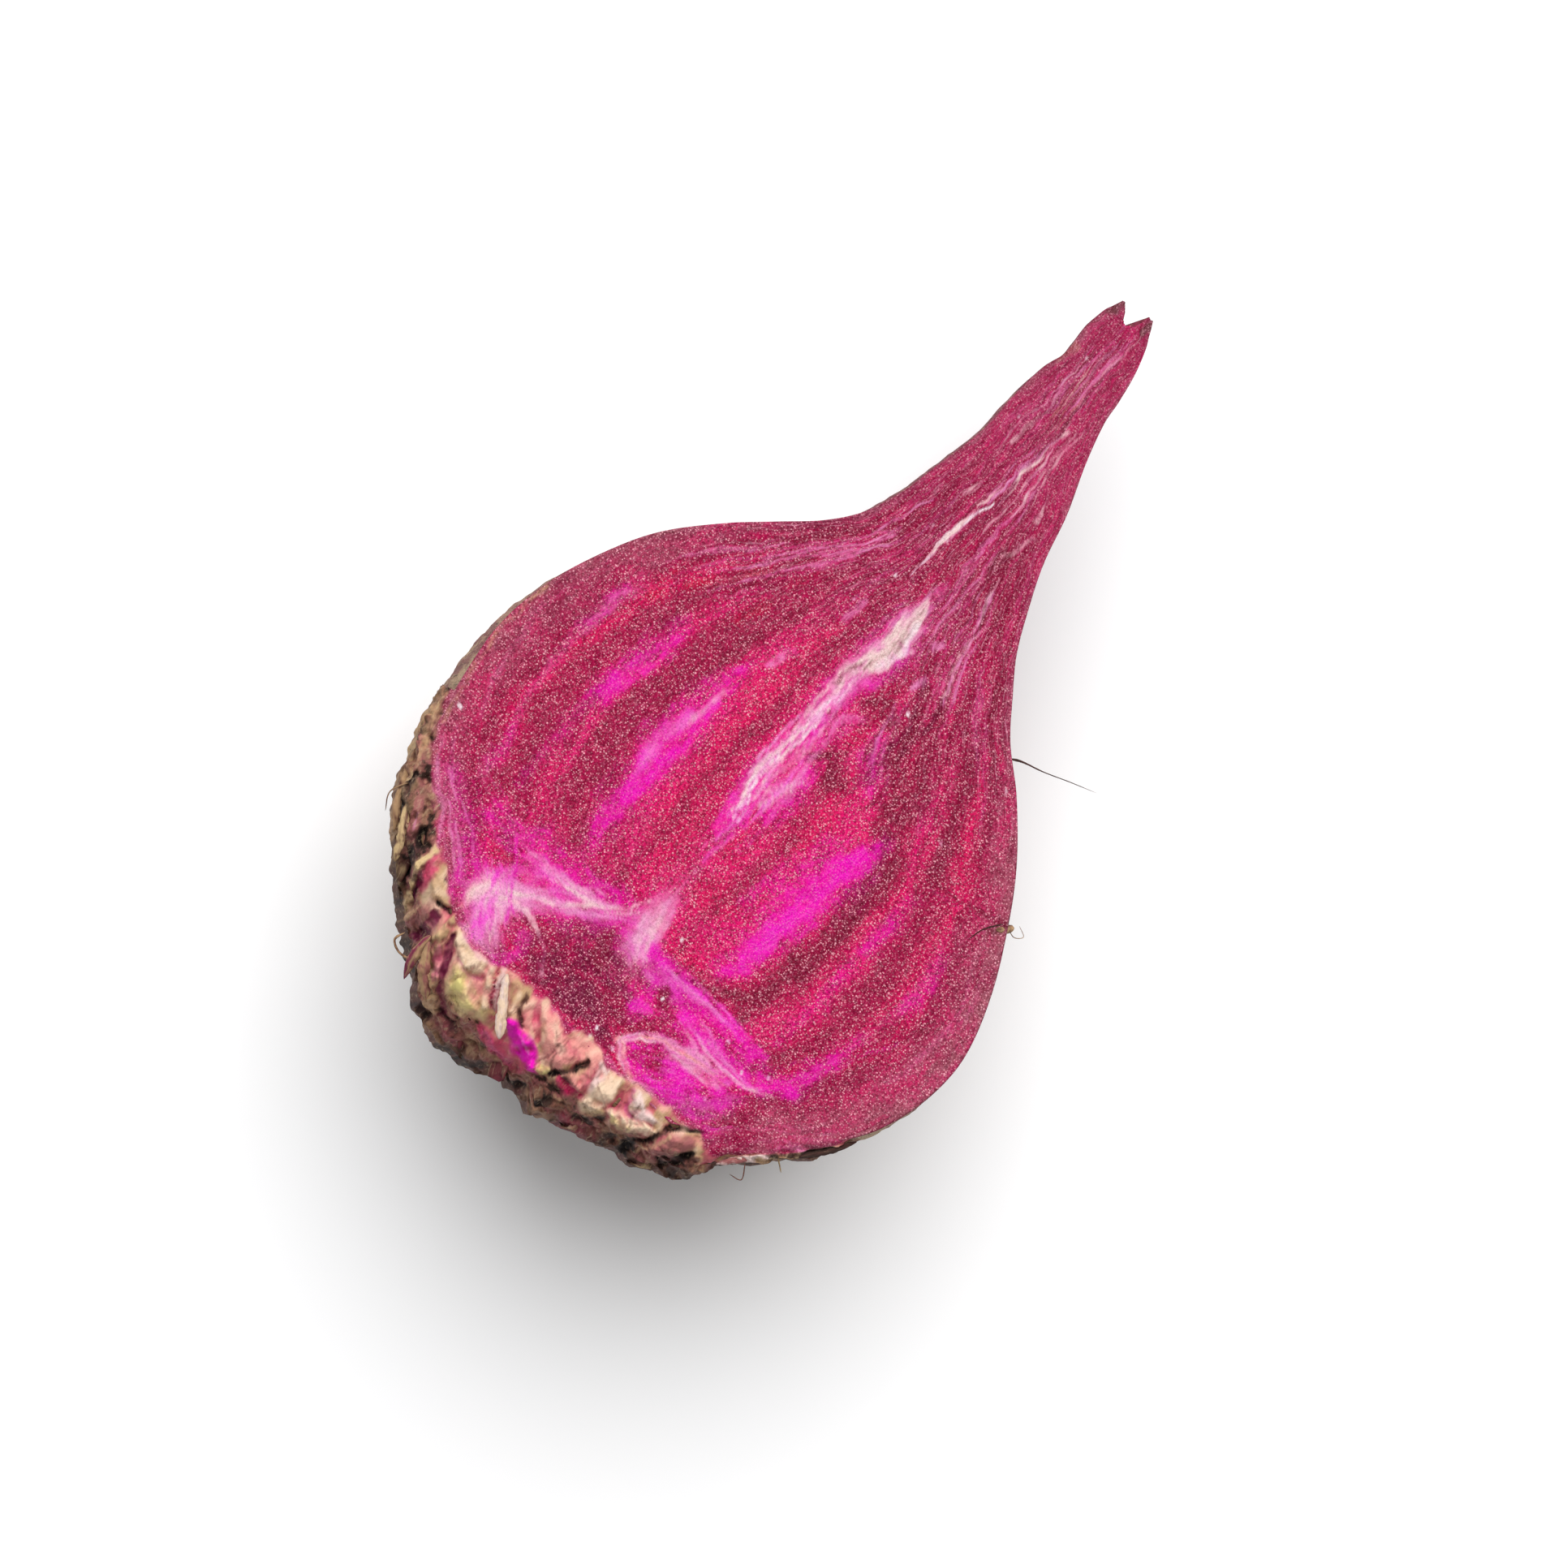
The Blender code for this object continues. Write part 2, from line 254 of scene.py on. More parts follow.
# Growth bands from the middle outwards: mm from the middle at the widest place, tone
bandsLeft = (
    (0, "crimson"), (3, "rose"), (5, "wineRed"), (7.5, "crimson"), (10.5, "rose"), (13.5, "wineRed"),
     (16.3, "wine"),
    (18.5, "wineRed"), (20.3, "rose"), (22.2, "wineRed"), (24, "wine"), (26.5, "crimson"), (28.8, "wine"),
    (30.5, "mauve"), (32.6, "mauve"), (34.3, "rim"),
)
bandsRight = (
    (0, "crimson"), (3, "rose"), (5, "wineRed"), (7.5, "crimson"), (11, "rose"), (14.5, "crimson"),
     (17, "wineDark"),
    (19, "wineRed"), (20.8, "rose"), (22.6, "wineRed"), (24.6, "wine"), (28, "crimson"), (30, "wine"),
     (32.5, "mauve"),
    (37, "rim"),
)

# tone, strength, softness of the edge, fraying, then points: along, across, half-width
strokes = (
    # band after band, left of the middle
    ("rose", 0.60, 1.6, 0.7, (-16, 9.4, 1.6), (-6, 10.6, 3.2), (4, 10.6, 3.2), (18, 8.6, 1.2)),
    ("magenta", 0.85, 2.1, 1.3, (-14, 9.8, 1.0), (-9, 10.8, 1.9), (0, 11.3, 2.6), (7, 11.0, 2.2),
     (12.6, 10.2, 1.0)),
    ("magenta", 0.80, 1.2, 0.7, (-12, 10.4, 0.7), (-7, 10.8, 1.2), (-3, 9.8, 0.9), (3, 9.3, 0.9),
     (8, 9.8, 0.6)),
    ("hotPink", 0.55, 1.5, 0.9, (-5, 11.6, 0.8), (0, 11.9, 1.4), (6, 11.2, 1.0)),
    ("palePink", 0.55, 1.5, 1.0, (-4, 11.8, 0.6), (1, 12.0, 1.1), (5, 11.2, 0.8)),
    ("magenta", 0.35, 1.5, 0.9, (-14, 20.6, 0.7), (-4, 20.8, 0.9), (2, 20.6, 1.2)),
    ("magenta", 0.75, 2.1, 1.3, (0, 20.0, 1.2), (5, 19.6, 2.0), (10, 19.2, 1.6), (13, 18.8, 0.7)),
    ("hotPink", 0.35, 1.5, 0.9, (2, 19.8, 0.8), (8, 19.4, 1.2)),
    ("rosePink", 0.45, 1.5, 0.9, (-16, 23.6, 0.7), (-11, 24.6, 0.7), (-4, 26.4, 0.7), (4, 26.9, 0.8),
     (13, 25.8, 0.6)),
    ("magenta", 0.45, 1.5, 0.9, (4, 27.0, 0.7), (8, 26.6, 1.0), (11, 26.2, 0.6)),
    ("magenta", 0.35, 1.5, 0.9, (-14, 24.0, 0.9), (-10, 24.8, 0.9)),
    ("wine", 0.60, 1.2, 0.8, (-16, 5.0, 0.7), (0, 5.1, 0.9), (14, 4.7, 0.8), (24, 4.1, 0.5)),
    ("wine", 0.70, 1.3, 0.8, (-17, 15.4, 1.4), (0, 16.2, 1.9), (12, 15.4, 1.8), (20, 13.4, 1.0)),
    ("wineDark", 0.65, 1.3, 0.9, (8, 13.4, 0.8), (15, 12.0, 1.0), (23, 9.6, 0.7)),
    ("wineDark", 0.40, 1.3, 0.9, (-12, 17.2, 0.8), (-2, 17.6, 1.0), (6, 16.8, 0.6)),
    ("wine", 0.60, 1.3, 0.8, (-15, 22.6, 0.8), (0, 23.8, 1.2), (10, 23.0, 1.1), (17, 19.8, 0.6)),
    ("wine", 0.50, 1.3, 0.8, (-17, 27.6, 0.8), (0, 29.2, 1.0), (12, 27.8, 0.9)),
    ("red", 0.65, 1.2, 0.9, (12.4, 23.6, 0.7), (15.6, 23.4, 0.5)),
    ("red", 0.65, 1.2, 0.9, (15.6, 21.2, 0.7), (18.4, 20.2, 0.5)),
    ("red", 0.60, 1.2, 0.9, (20.4, 18.2, 0.8), (24.0, 15.8, 0.5)),
    ("red", 0.50, 1.2, 0.9, (17.0, 14.4, 0.8), (20.4, 13.2, 0.6)),
    ("red", 0.40, 1.2, 0.9, (24.0, 12.6, 0.7), (28.0, 10.4, 0.5)),
    ("crimson", 0.60, 1.2, 0.9, (10, 8.2, 1.0), (18, 7.2, 0.9), (26, 5.4, 0.5)),
    ("crimson", 0.60, 1.3, 0.9, (-14, 3.0, 1.2), (0, 3.2, 1.2), (14, 3.0, 0.9)),
    # band after band, right of the middle
    ("rose", 0.60, 1.6, 0.7, (-16, -10.4, 1.6), (-6, -11.4, 3.2), (4, -12.6, 3.0), (12, -13.4, 1.2)),
    ("magenta", 0.85, 2.1, 1.3, (-14, -10.4, 1.1), (-10, -10.9, 1.9), (-2, -11.2, 2.6), (4, -12.9, 2.1),
     (9, -14, 0.9)),
    ("magenta", 0.80, 1.2, 0.7, (-6, -9.4, 0.8), (0, -9.9, 1.1), (4, -12.6, 1.3), (7, -13.6, 0.8)),
    ("hotPink", 0.60, 1.5, 0.9, (-11, -11.4, 0.8), (-5, -12.2, 1.3), (0, -12.8, 0.8)),
    ("palePink", 0.35, 1.5, 1.0, (-9, -11.8, 0.5), (-4, -12.4, 0.8)),
    ("magenta", 0.40, 1.5, 0.9, (-15, -20.4, 0.8), (-4, -20.9, 1.1), (7, -20.7, 0.9)),
    ("magenta", 0.45, 1.5, 0.9, (-1, -20.8, 1.0), (3, -21.0, 1.3)),
    ("magenta", 0.50, 1.5, 0.9, (-18, -24.6, 1.1), (-13, -25.8, 1.4), (-9, -26.8, 0.8)),
    ("magenta", 0.50, 1.5, 0.9, (-3, -28.2, 0.9), (1, -28.4, 1.2), (5, -27.8, 0.8)),
    ("rosePink", 0.35, 1.5, 0.9, (-10, -27.0, 0.8), (-2, -28.2, 0.8), (8, -26.6, 0.8)),
    ("magenta", 0.60, 1.4, 1.1, (3.0, -2.4, 1.4), (6.5, -3.0, 2.0), (9.6, -2.4, 1.2)),
    ("palePink", 0.70, 1.3, 1.2, (3.6, -1.6, 0.9), (6.4, -2.2, 1.5), (9.4, -1.8, 0.9)),
    ("palePink", 0.60, 1.3, 1.2, (15.4, -0.8, 0.7), (17.0, -2.0, 1.0), (18.0, -3.4, 0.6)),
    ("magenta", 0.55, 1.3, 1.2, (13.0, -8.6, 1.0), (15.6, -7.4, 1.6), (18.4, -6.0, 0.8)),
    ("rosePink", 0.45, 1.3, 1.2, (12.6, -5.6, 0.6), (15.0, -6.2, 1.0), (18.4, -7.2, 0.6)),
    ("rosePink", 0.40, 1.5, 0.9, (13, -16.5, 0.5), (16, -14.6, 0.9), (20, -12.6, 0.4)),
    ("wine", 0.50, 1.3, 0.8, (-15, -5.0, 0.7), (-3, -5.4, 0.9), (3, -6.4, 0.7)),
    ("crimson", 0.50, 1.3, 0.9, (-14, -3.2, 0.9), (-3, -3.4, 1.1), (2, -5.0, 0.7)),
    ("wineDark", 0.75, 1.2, 0.8, (-16, -15.6, 0.9), (0, -16.8, 1.8), (9, -16.6, 1.5)),
    ("crimson", 0.55, 1.3, 0.9, (-12, -18.8, 0.7), (0, -19.2, 0.8), (8, -18.9, 0.6)),
    ("wineDark", 0.80, 1.2, 0.8, (9, -14.2, 1.4), (14, -11.6, 1.8), (23, -7.0, 0.8)),
    ("wineDark", 0.70, 1.2, 0.8, (10.5, -21.4, 0.9), (16, -18.4, 1.4), (26, -14.6, 0.6)),
    ("wine", 0.65, 1.3, 0.8, (-15, -23.0, 0.8), (0, -24.6, 1.4), (9, -23.8, 1.0)),
    ("wine", 0.45, 1.3, 0.8, (-12, -29.6, 0.7), (0, -30.6, 0.9), (9, -29.0, 0.7)),
    ("wineDark", 0.85, 1.2, 0.9, (11.4, -1.4, 0.7), (12.6, -3.4, 1.5), (10.0, -5.8, 1.2)),
    ("wineDark", 0.80, 1.2, 0.9, (20.0, -2.2, 0.7), (21.4, -4.0, 1.3), (20.0, -6.4, 0.8)),
    ("wineDark", 0.75, 1.2, 0.9, (16.6, -8.6, 0.7), (21.0, -7.4, 1.3), (26.0, -6.4, 0.7)),
    ("magenta", 0.45, 1.3, 1.2, (-6, -7.2, 1.2), (0, -8.0, 1.6), (5, -9.4, 1.2)),
    ("wineDark", 0.50, 1.2, 0.9, (16, -10.6, 0.6), (24, -6.0, 0.6), (30, -4.2, 0.4)),
    ("crimson", 0.50, 1.2, 0.9, (17, -16.2, 0.7), (22, -12.6, 0.8), (28, -9.6, 0.5)),
    ("crimson", 0.50, 1.2, 0.9, (13, -22.8, 0.7), (19, -19.6, 0.8), (25, -16.4, 0.5)),
    # the pale core of the neck
    ("rosePink", 0.45, 1.6, 0.9, (-14, -0.4, 1.6), (-6, -0.3, 0.9), (0, 0.3, 0.7)),
    ("magenta", 0.45, 1.6, 0.9, (-2, 0.8, 0.9), (4, 0.6, 1.9), (12, 0.4, 1.8), (19, 0.6, 1.6)),
    ("hotPink", 0.45, 1.6, 0.9, (-2, 1.2, 0.7), (4, 1.0, 1.7), (12, 0.9, 1.5), (21, 0.9, 2.0),
     (31, 0.0, 1.9)),
    ("palePink", 0.50, 1.5, 1.0, (0, 1.2, 0.5), (4, 1.4, 1.0), (10, 1.3, 0.8), (16, 1.4, 0.9),
     (21, 1.0, 1.3)),
    ("palePink", 0.75, 1.4, 0.8, (18, 1.0, 1.0), (24, 0.5, 2.0), (31, 0.0, 1.8), (36, -0.2, 0.6)),
    ("hotPink", 0.55, 1.4, 0.9, (21.6, -1.2, 0.8), (25, -2.2, 1.2), (29, -2.0, 0.9)),
    ("cream", 0.60, 1.0, 1.0, (18.6, 1.8, 0.5), (21.0, 1.7, 0.8), (23, 1.2, 0.9)),
    ("cream", 0.95, 0.8, 1.0, (22.6, 0.3, 0.9), (25, -0.4, 1.4), (28, -0.5, 1.7), (30.6, -0.2, 1.5),
     (33.4, 0.0, 0.4)),
    ("white", 0.60, 0.9, 1.0, (24, -1.0, 0.6), (27.6, -1.3, 0.7), (31, -0.8, 0.6)),
    ("brown", 0.55, 0.8, 1.0, (19.0, 1.9, 0.2), (21.6, 1.6, 0.25), (23.0, 0.9, 0.2)),
    ("brown", 0.60, 0.9, 0.5, (22.4, 0.3, 0.15), (27, -0.3, 0.24), (32.4, -0.2, 0.14)),
    ("brown", 0.40, 0.9, 0.5, (25.0, -0.9, 0.14), (29.5, -0.8, 0.18)),
    ("cream", 0.65, 0.8, 0.5, (4.2, 10.7, 0.22), (6.4, 10.2, 0.3), (9.6, 10.0, 0.18)),
    # the fan behind the pith, and its two arms
    ("magenta", 0.70, 1.6, 0.8, (-18, 1, 2.2), (-19.6, 6, 2.6), (-20.6, 11, 3.0), (-25, 14.5, 3.2),
     (-28.6, 13, 1.6)),
    ("rose", 0.55, 1.6, 0.8, (-17.6, 4, 1.6), (-17.4, 12, 2.0), (-17, 20, 1.6)),
    ("magenta", 0.75, 1.6, 0.8, (-17.8, -2, 1.4), (-19.4, -7, 2.2), (-20.4, -13, 2.8), (-20, -20, 2.2),
     (-18, -25, 1.0)),
    ("rosePink", 0.60, 1.6, 0.9, (-11, -0.4, 0.9), (-15.5, -0.6, 2.4), (-19.6, -1.6, 2.8)),
    ("palePink", 0.50, 1.6, 1.0, (-13.4, -0.4, 0.7), (-16.5, -0.6, 1.8), (-19, -1.8, 1.6)),
    ("palePink", 0.60, 1.6, 1.0, (-17, 2.4, 1.0), (-19.5, 6, 1.5), (-21.6, 9.6, 1.8), (-24, 13.6, 2.6)),
    ("palePink", 0.50, 1.6, 1.0, (-16.0, 2.0, 0.7), (-18.4, 7, 1.1), (-19.4, 12, 1.2)),
    ("palePink", 0.60, 1.6, 1.0, (-29.4, 9.6, 1.2), (-28, 12.6, 2.2), (-25, 13.4, 2.8), (-21.6, 12, 2.0)),
    ("cream", 0.50, 1.6, 1.0, (-26.6, 12.0, 1.0), (-24.6, 13.6, 1.5), (-22.6, 11.8, 1.0)),
    ("palePink", 0.80, 1.2, 0.8, (-29.8, -11.5, 0.5), (-28.4, -8, 0.55), (-27, -6.8, 0.6),
     (-25, -8.2, 0.5), (-23.5, -11, 0.6), (-22.5, -14.6, 0.6), (-22.4, -19, 0.4)),
    ("hotPink", 0.55, 1.5, 0.9, (-28.8, -10, 0.8), (-27.6, -13, 1.4), (-26, -17, 1.6)),
    ("palePink", 0.75, 1.0, 0.9, (-29.9, 14.4, 0.4), (-29.5, 12, 0.5), (-29.8, 9.6, 0.4)),
    ("rosePink", 0.75, 0.9, 0.9, (-29.9, 7.5, 0.3), (-29.7, 4, 0.35), (-29.9, 0, 0.3)),
    ("rosePink", 0.75, 0.9, 0.9, (-29.9, -1, 0.3), (-29.7, -5, 0.35), (-29.9, -8.5, 0.3)),
    ("cream", 0.70, 0.9, 0.9, (-29.9, -9, 0.3), (-29.4, -12, 0.6), (-29.2, -15, 0.5)),
    ("palePink", 0.70, 1.5, 0.9, (-28.8, 10.8, 1.2), (-27, 13.8, 1.7), (-25, 14.8, 2.1),
     (-23.4, 13.2, 1.4)),
    ("hotPink", 0.80, 1.3, 0.7, (-29.2, 12.6, 0.9), (-27.6, 13.2, 1.2)),
    ("magenta", 0.60, 1.5, 0.8, (-29.6, 17.0, 1.0), (-27.4, 17.6, 1.3), (-25, 18.2, 1.2)),
    ("warmCream", 0.70, 1.2, 0.9, (-27.8, 15.6, 0.5), (-25.6, 15.6, 0.9), (-23.8, 13.6, 0.9),
     (-23.0, 11.4, 0.5)),
    ("cream", 0.75, 0.9, 0.6, (-23.5, 10, 0.32), (-24.4, 8, 0.30), (-25.6, 6.4, 0.28), (-27.8, 4.4, 0.2)),
    ("rosePink", 0.50, 1.6, 0.9, (-26, 18.6, 1.6), (-23, 21.4, 1.8), (-19, 26.4, 1.4), (-16, 29.4, 0.8)),
    ("magenta", 0.45, 1.6, 0.8, (-24, 18.4, 2.0), (-20.4, 22, 2.2), (-17.6, 26, 1.2)),
    ("magenta", 0.70, 1.4, 0.8, (-17.5, -2.6, 0.9), (-17.7, -8, 1.0), (-17.6, -13, 0.9), (-17, -20, 0.6)),
    ("hotPink", 0.50, 1.4, 0.9, (-20.4, -10.4, 0.7), (-21, -14, 1.3), (-21.3, -18, 1.2),
     (-20.4, -22.6, 0.9)),
    ("magenta", 0.65, 1.6, 1.0, (-18.6, 20, 1.4), (-17.6, 14, 2.2), (-17, 8, 2.0), (-15.6, 3.6, 1.4)),
    ("palePink", 0.50, 1.8, 1.3, (-29, 12.6, 1.8), (-25.6, 13.0, 2.6), (-22.6, 10.6, 1.9),
     (-20.4, 7.4, 1.0)),
    ("cream", 0.75, 1.3, 1.2, (-26.0, 15.6, 0.9), (-24.4, 13.8, 1.6), (-23.4, 11.6, 1.2)),
    ("palePink", 0.60, 1.8, 1.3, (-18.8, -0.8, 1.6), (-15.6, -0.4, 1.9), (-12.4, -0.4, 0.9)),
    ("crimson", 0.50, 1.3, 1.0, (-21.4, 13.4, 0.7), (-20.6, 10.6, 0.6)),
    ("palePink", 0.75, 1.2, 1.2, (-18.9, 14.0, 0.6), (-18.7, 11.0, 0.8), (-18.4, 7.0, 0.5)),
    ("cream", 0.80, 1.0, 0.9, (-22.8, 12.0, 0.3), (-21.5, 8.6, 0.35), (-18.7, 5.8, 0.3),
     (-16.0, 2.4, 0.3), (-13.4, 1.0, 0.2)),
    ("hotPink", 0.60, 1.3, 1.2, (-29.4, 9.0, 0.8), (-27.4, 8.0, 0.9), (-25.6, 8.6, 0.7)),
    ("palePink", 0.65, 1.4, 1.2, (-17.6, -1.0, 1.2), (-15, -1.2, 1.3), (-11.6, -1.0, 0.7)),
    ("cream", 0.60, 1.3, 1.2, (-17.6, -0.9, 0.6), (-15.2, -1.2, 0.9), (-13.2, -0.8, 0.5)),
    ("magenta", 0.45, 2.1, 1.3, (-18.2, -1.6, 1.2), (-18.8, -7, 1.2), (-18.6, -13, 1.2),
     (-17.8, -19.6, 1.0)),
    ("hotPink", 0.60, 1.4, 1.0, (-22.6, -5.6, 1.1), (-22.4, -7.0, 0.9)),
    ("rose", 0.50, 1.6, 1.0, (-14, -8.2, 1.2), (-9, -8.8, 2.0), (-1, -9.2, 1.8)),
    ("magenta", 0.75, 2.1, 1.3, (-12, -11.6, 1.2), (-4, -12.4, 2.2), (3, -13.6, 2.2), (9.6, -14.2, 1.0)),
    ("palePink", 0.55, 1.6, 1.3, (-18.6, -1.6, 1.4), (-19.2, -4.6, 1.2), (-18.6, -8.0, 0.8)),
    ("wine", 0.60, 1.3, 1.0, (-21.4, -9.4, 0.6), (-20.4, -6.2, 0.7)),
    # the bud at the crown's right, and the dark pith between
    ("pith", 0.80, 1.5, 0.7, (-28.4, -5, 1.8), (-26.4, 0, 4.4), (-27.4, 5.6, 2.6), (-24, 3.6, 3.0)),
    ("pith", 0.60, 1.5, 0.7, (-22, 3.6, 1.6), (-21.4, 0, 1.8), (-22.6, -3, 1.6)),
    ("wineDark", 0.85, 1.2, 0.8, (-19.6, 2.4, 1.0), (-22.4, 0.8, 1.3)),
    ("crimson", 0.60, 1.3, 0.9, (-24.6, 3.4, 0.7), (-22.2, 4.0, 1.0), (-21.4, 2.6, 0.6)),
    ("wineDark", 0.70, 1.2, 0.8, (-19.9, -7.2, 0.9), (-21.6, -8.8, 0.9)),
    ("magenta", 0.65, 1.4, 0.8, (-24, -5.8, 1.0), (-21.6, -5.2, 1.3)),
    ("magenta", 0.85, 1.4, 0.8, (-27, -8.8, 1.5), (-26.4, -13, 3.2), (-25.6, -17.4, 2.9),
     (-24.6, -20, 2.0)),
    ("wine", 0.85, 1.2, 0.8, (-27.0, -9.6, 0.9), (-25.8, -11.6, 1.3)),
    ("cream", 0.70, 1.2, 0.9, (-24.0, -12.6, 0.4), (-23.5, -15.4, 0.7), (-23.4, -18, 0.4)),
    ("palePink", 0.60, 1.5, 1.0, (-24.2, -12.2, 0.8), (-23.4, -15, 1.2), (-23.2, -18, 0.8)),
    ("mauvePink", 0.60, 1.5, 1.0, (-28.6, -15, 0.9), (-26.8, -18.2, 1.3), (-23.8, -20.4, 1.3)),
    ("salmon", 0.80, 1.0, 0.6, (-26.8, -6.3, 0.7), (-28.6, -8.4, 0.6), (-29.8, -12, 0.6)),
    ("wine", 0.80, 1.4, 0.9, (-29.6, -20.6, 0.8), (-26.4, -22.0, 1.4), (-23, -23.6, 1.0)),
    ("magenta", 0.45, 1.6, 1.2, (-18.4, -24.4, 0.9), (-15.4, -25.4, 1.3), (-12.6, -26.2, 0.8)),
    # the crack in the right flank
    ("wineDark", 0.90, 0.9, 0.5, (9.8, -20.4, 0.16), (10.5, -24, 0.24), (11.3, -27, 0.30),
     (12.0, -30, 0.35)),
    ("rosePink", 0.45, 1.2, 0.6, (9.2, -21.4, 0.2), (9.9, -25, 0.3)),
    ("brown", 0.60, 1.0, 0.8, (9.4, -29.4, 0.3), (11.6, -30.4, 0.7), (13.2, -30.6, 0.4)),
    # spots and streaks of the neck and tail, the tan rim of the left shoulder and the dark tip
    ("cream", 0.80, 0.8, 0.5, (58.4, 1.6, 0.35), (59.4, 1.5, 0.3)),
    ("palePink", 0.80, 1.0, 1.2, (25.0, -4.6, 0.4), (26.4, -5.2, 0.5)),
    ("palePink", 0.80, 1.0, 1.2, (30.4, -3.8, 0.5), (31.4, -4.2, 0.4)),
    ("palePink", 0.75, 1.0, 1.2, (32.6, -6.2, 0.3), (36.0, -5.0, 0.4), (39.4, -4.4, 0.3)),
    ("palePink", 0.75, 1.0, 1.2, (15.4, 8.4, 0.4), (17.0, 7.8, 0.6), (18.6, 7.0, 0.4)),
    ("palePink", 0.60, 1.0, 1.2, (25.6, 5.6, 0.4), (28.4, 5.2, 0.4)),
    ("cream", 0.70, 0.9, 1.2, (40.8, 8.0, 0.3), (44.6, 7.9, 0.25)),
    ("cream", 0.70, 0.9, 1.2, (53.6, 5.2, 0.3), (57.4, 5.0, 0.25)),
    ("cream", 0.70, 0.9, 1.2, (45.4, 5.2, 0.25), (47.6, 5.0, 0.25)),
    ("cream", 0.70, 0.9, 1.2, (49.0, -2.5, 0.3), (52.2, -2.0, 0.25)),
    ("cream", 0.60, 0.9, 1.2, (43.0, -2.6, 0.3), (47.0, -3.6, 0.25)),
    ("tan", 0.75, 1.0, 0.8, (-14.6, 31.0, 0.25), (-8, 32.6, 0.32), (-2, 33.4, 0.36), (5, 32.6, 0.24)),
    ("wineDark", 0.60, 1.2, 0.8, (68.6, 4.2, 0.5), (71.4, 3.8, 0.7)),
    ("tan", 0.45, 1.0, 1.0, (64.6, 7.6, 0.4), (67.4, 7.6, 0.4)),
    ("brown", 0.90, 1.2, 0.8, (73.6, 7.2, 0.6), (75.6, 6.6, 1.1), (76.4, 6.0, 1.0)),
    ("brown", 0.90, 1.2, 0.8, (74.2, 2.6, 0.6), (76.0, 2.4, 1.1), (77.0, 2.6, 1.0)),
    ("wine", 0.70, 1.2, 0.8, (71.4, 5.0, 0.6), (72.6, 4.8, 0.9)),
)

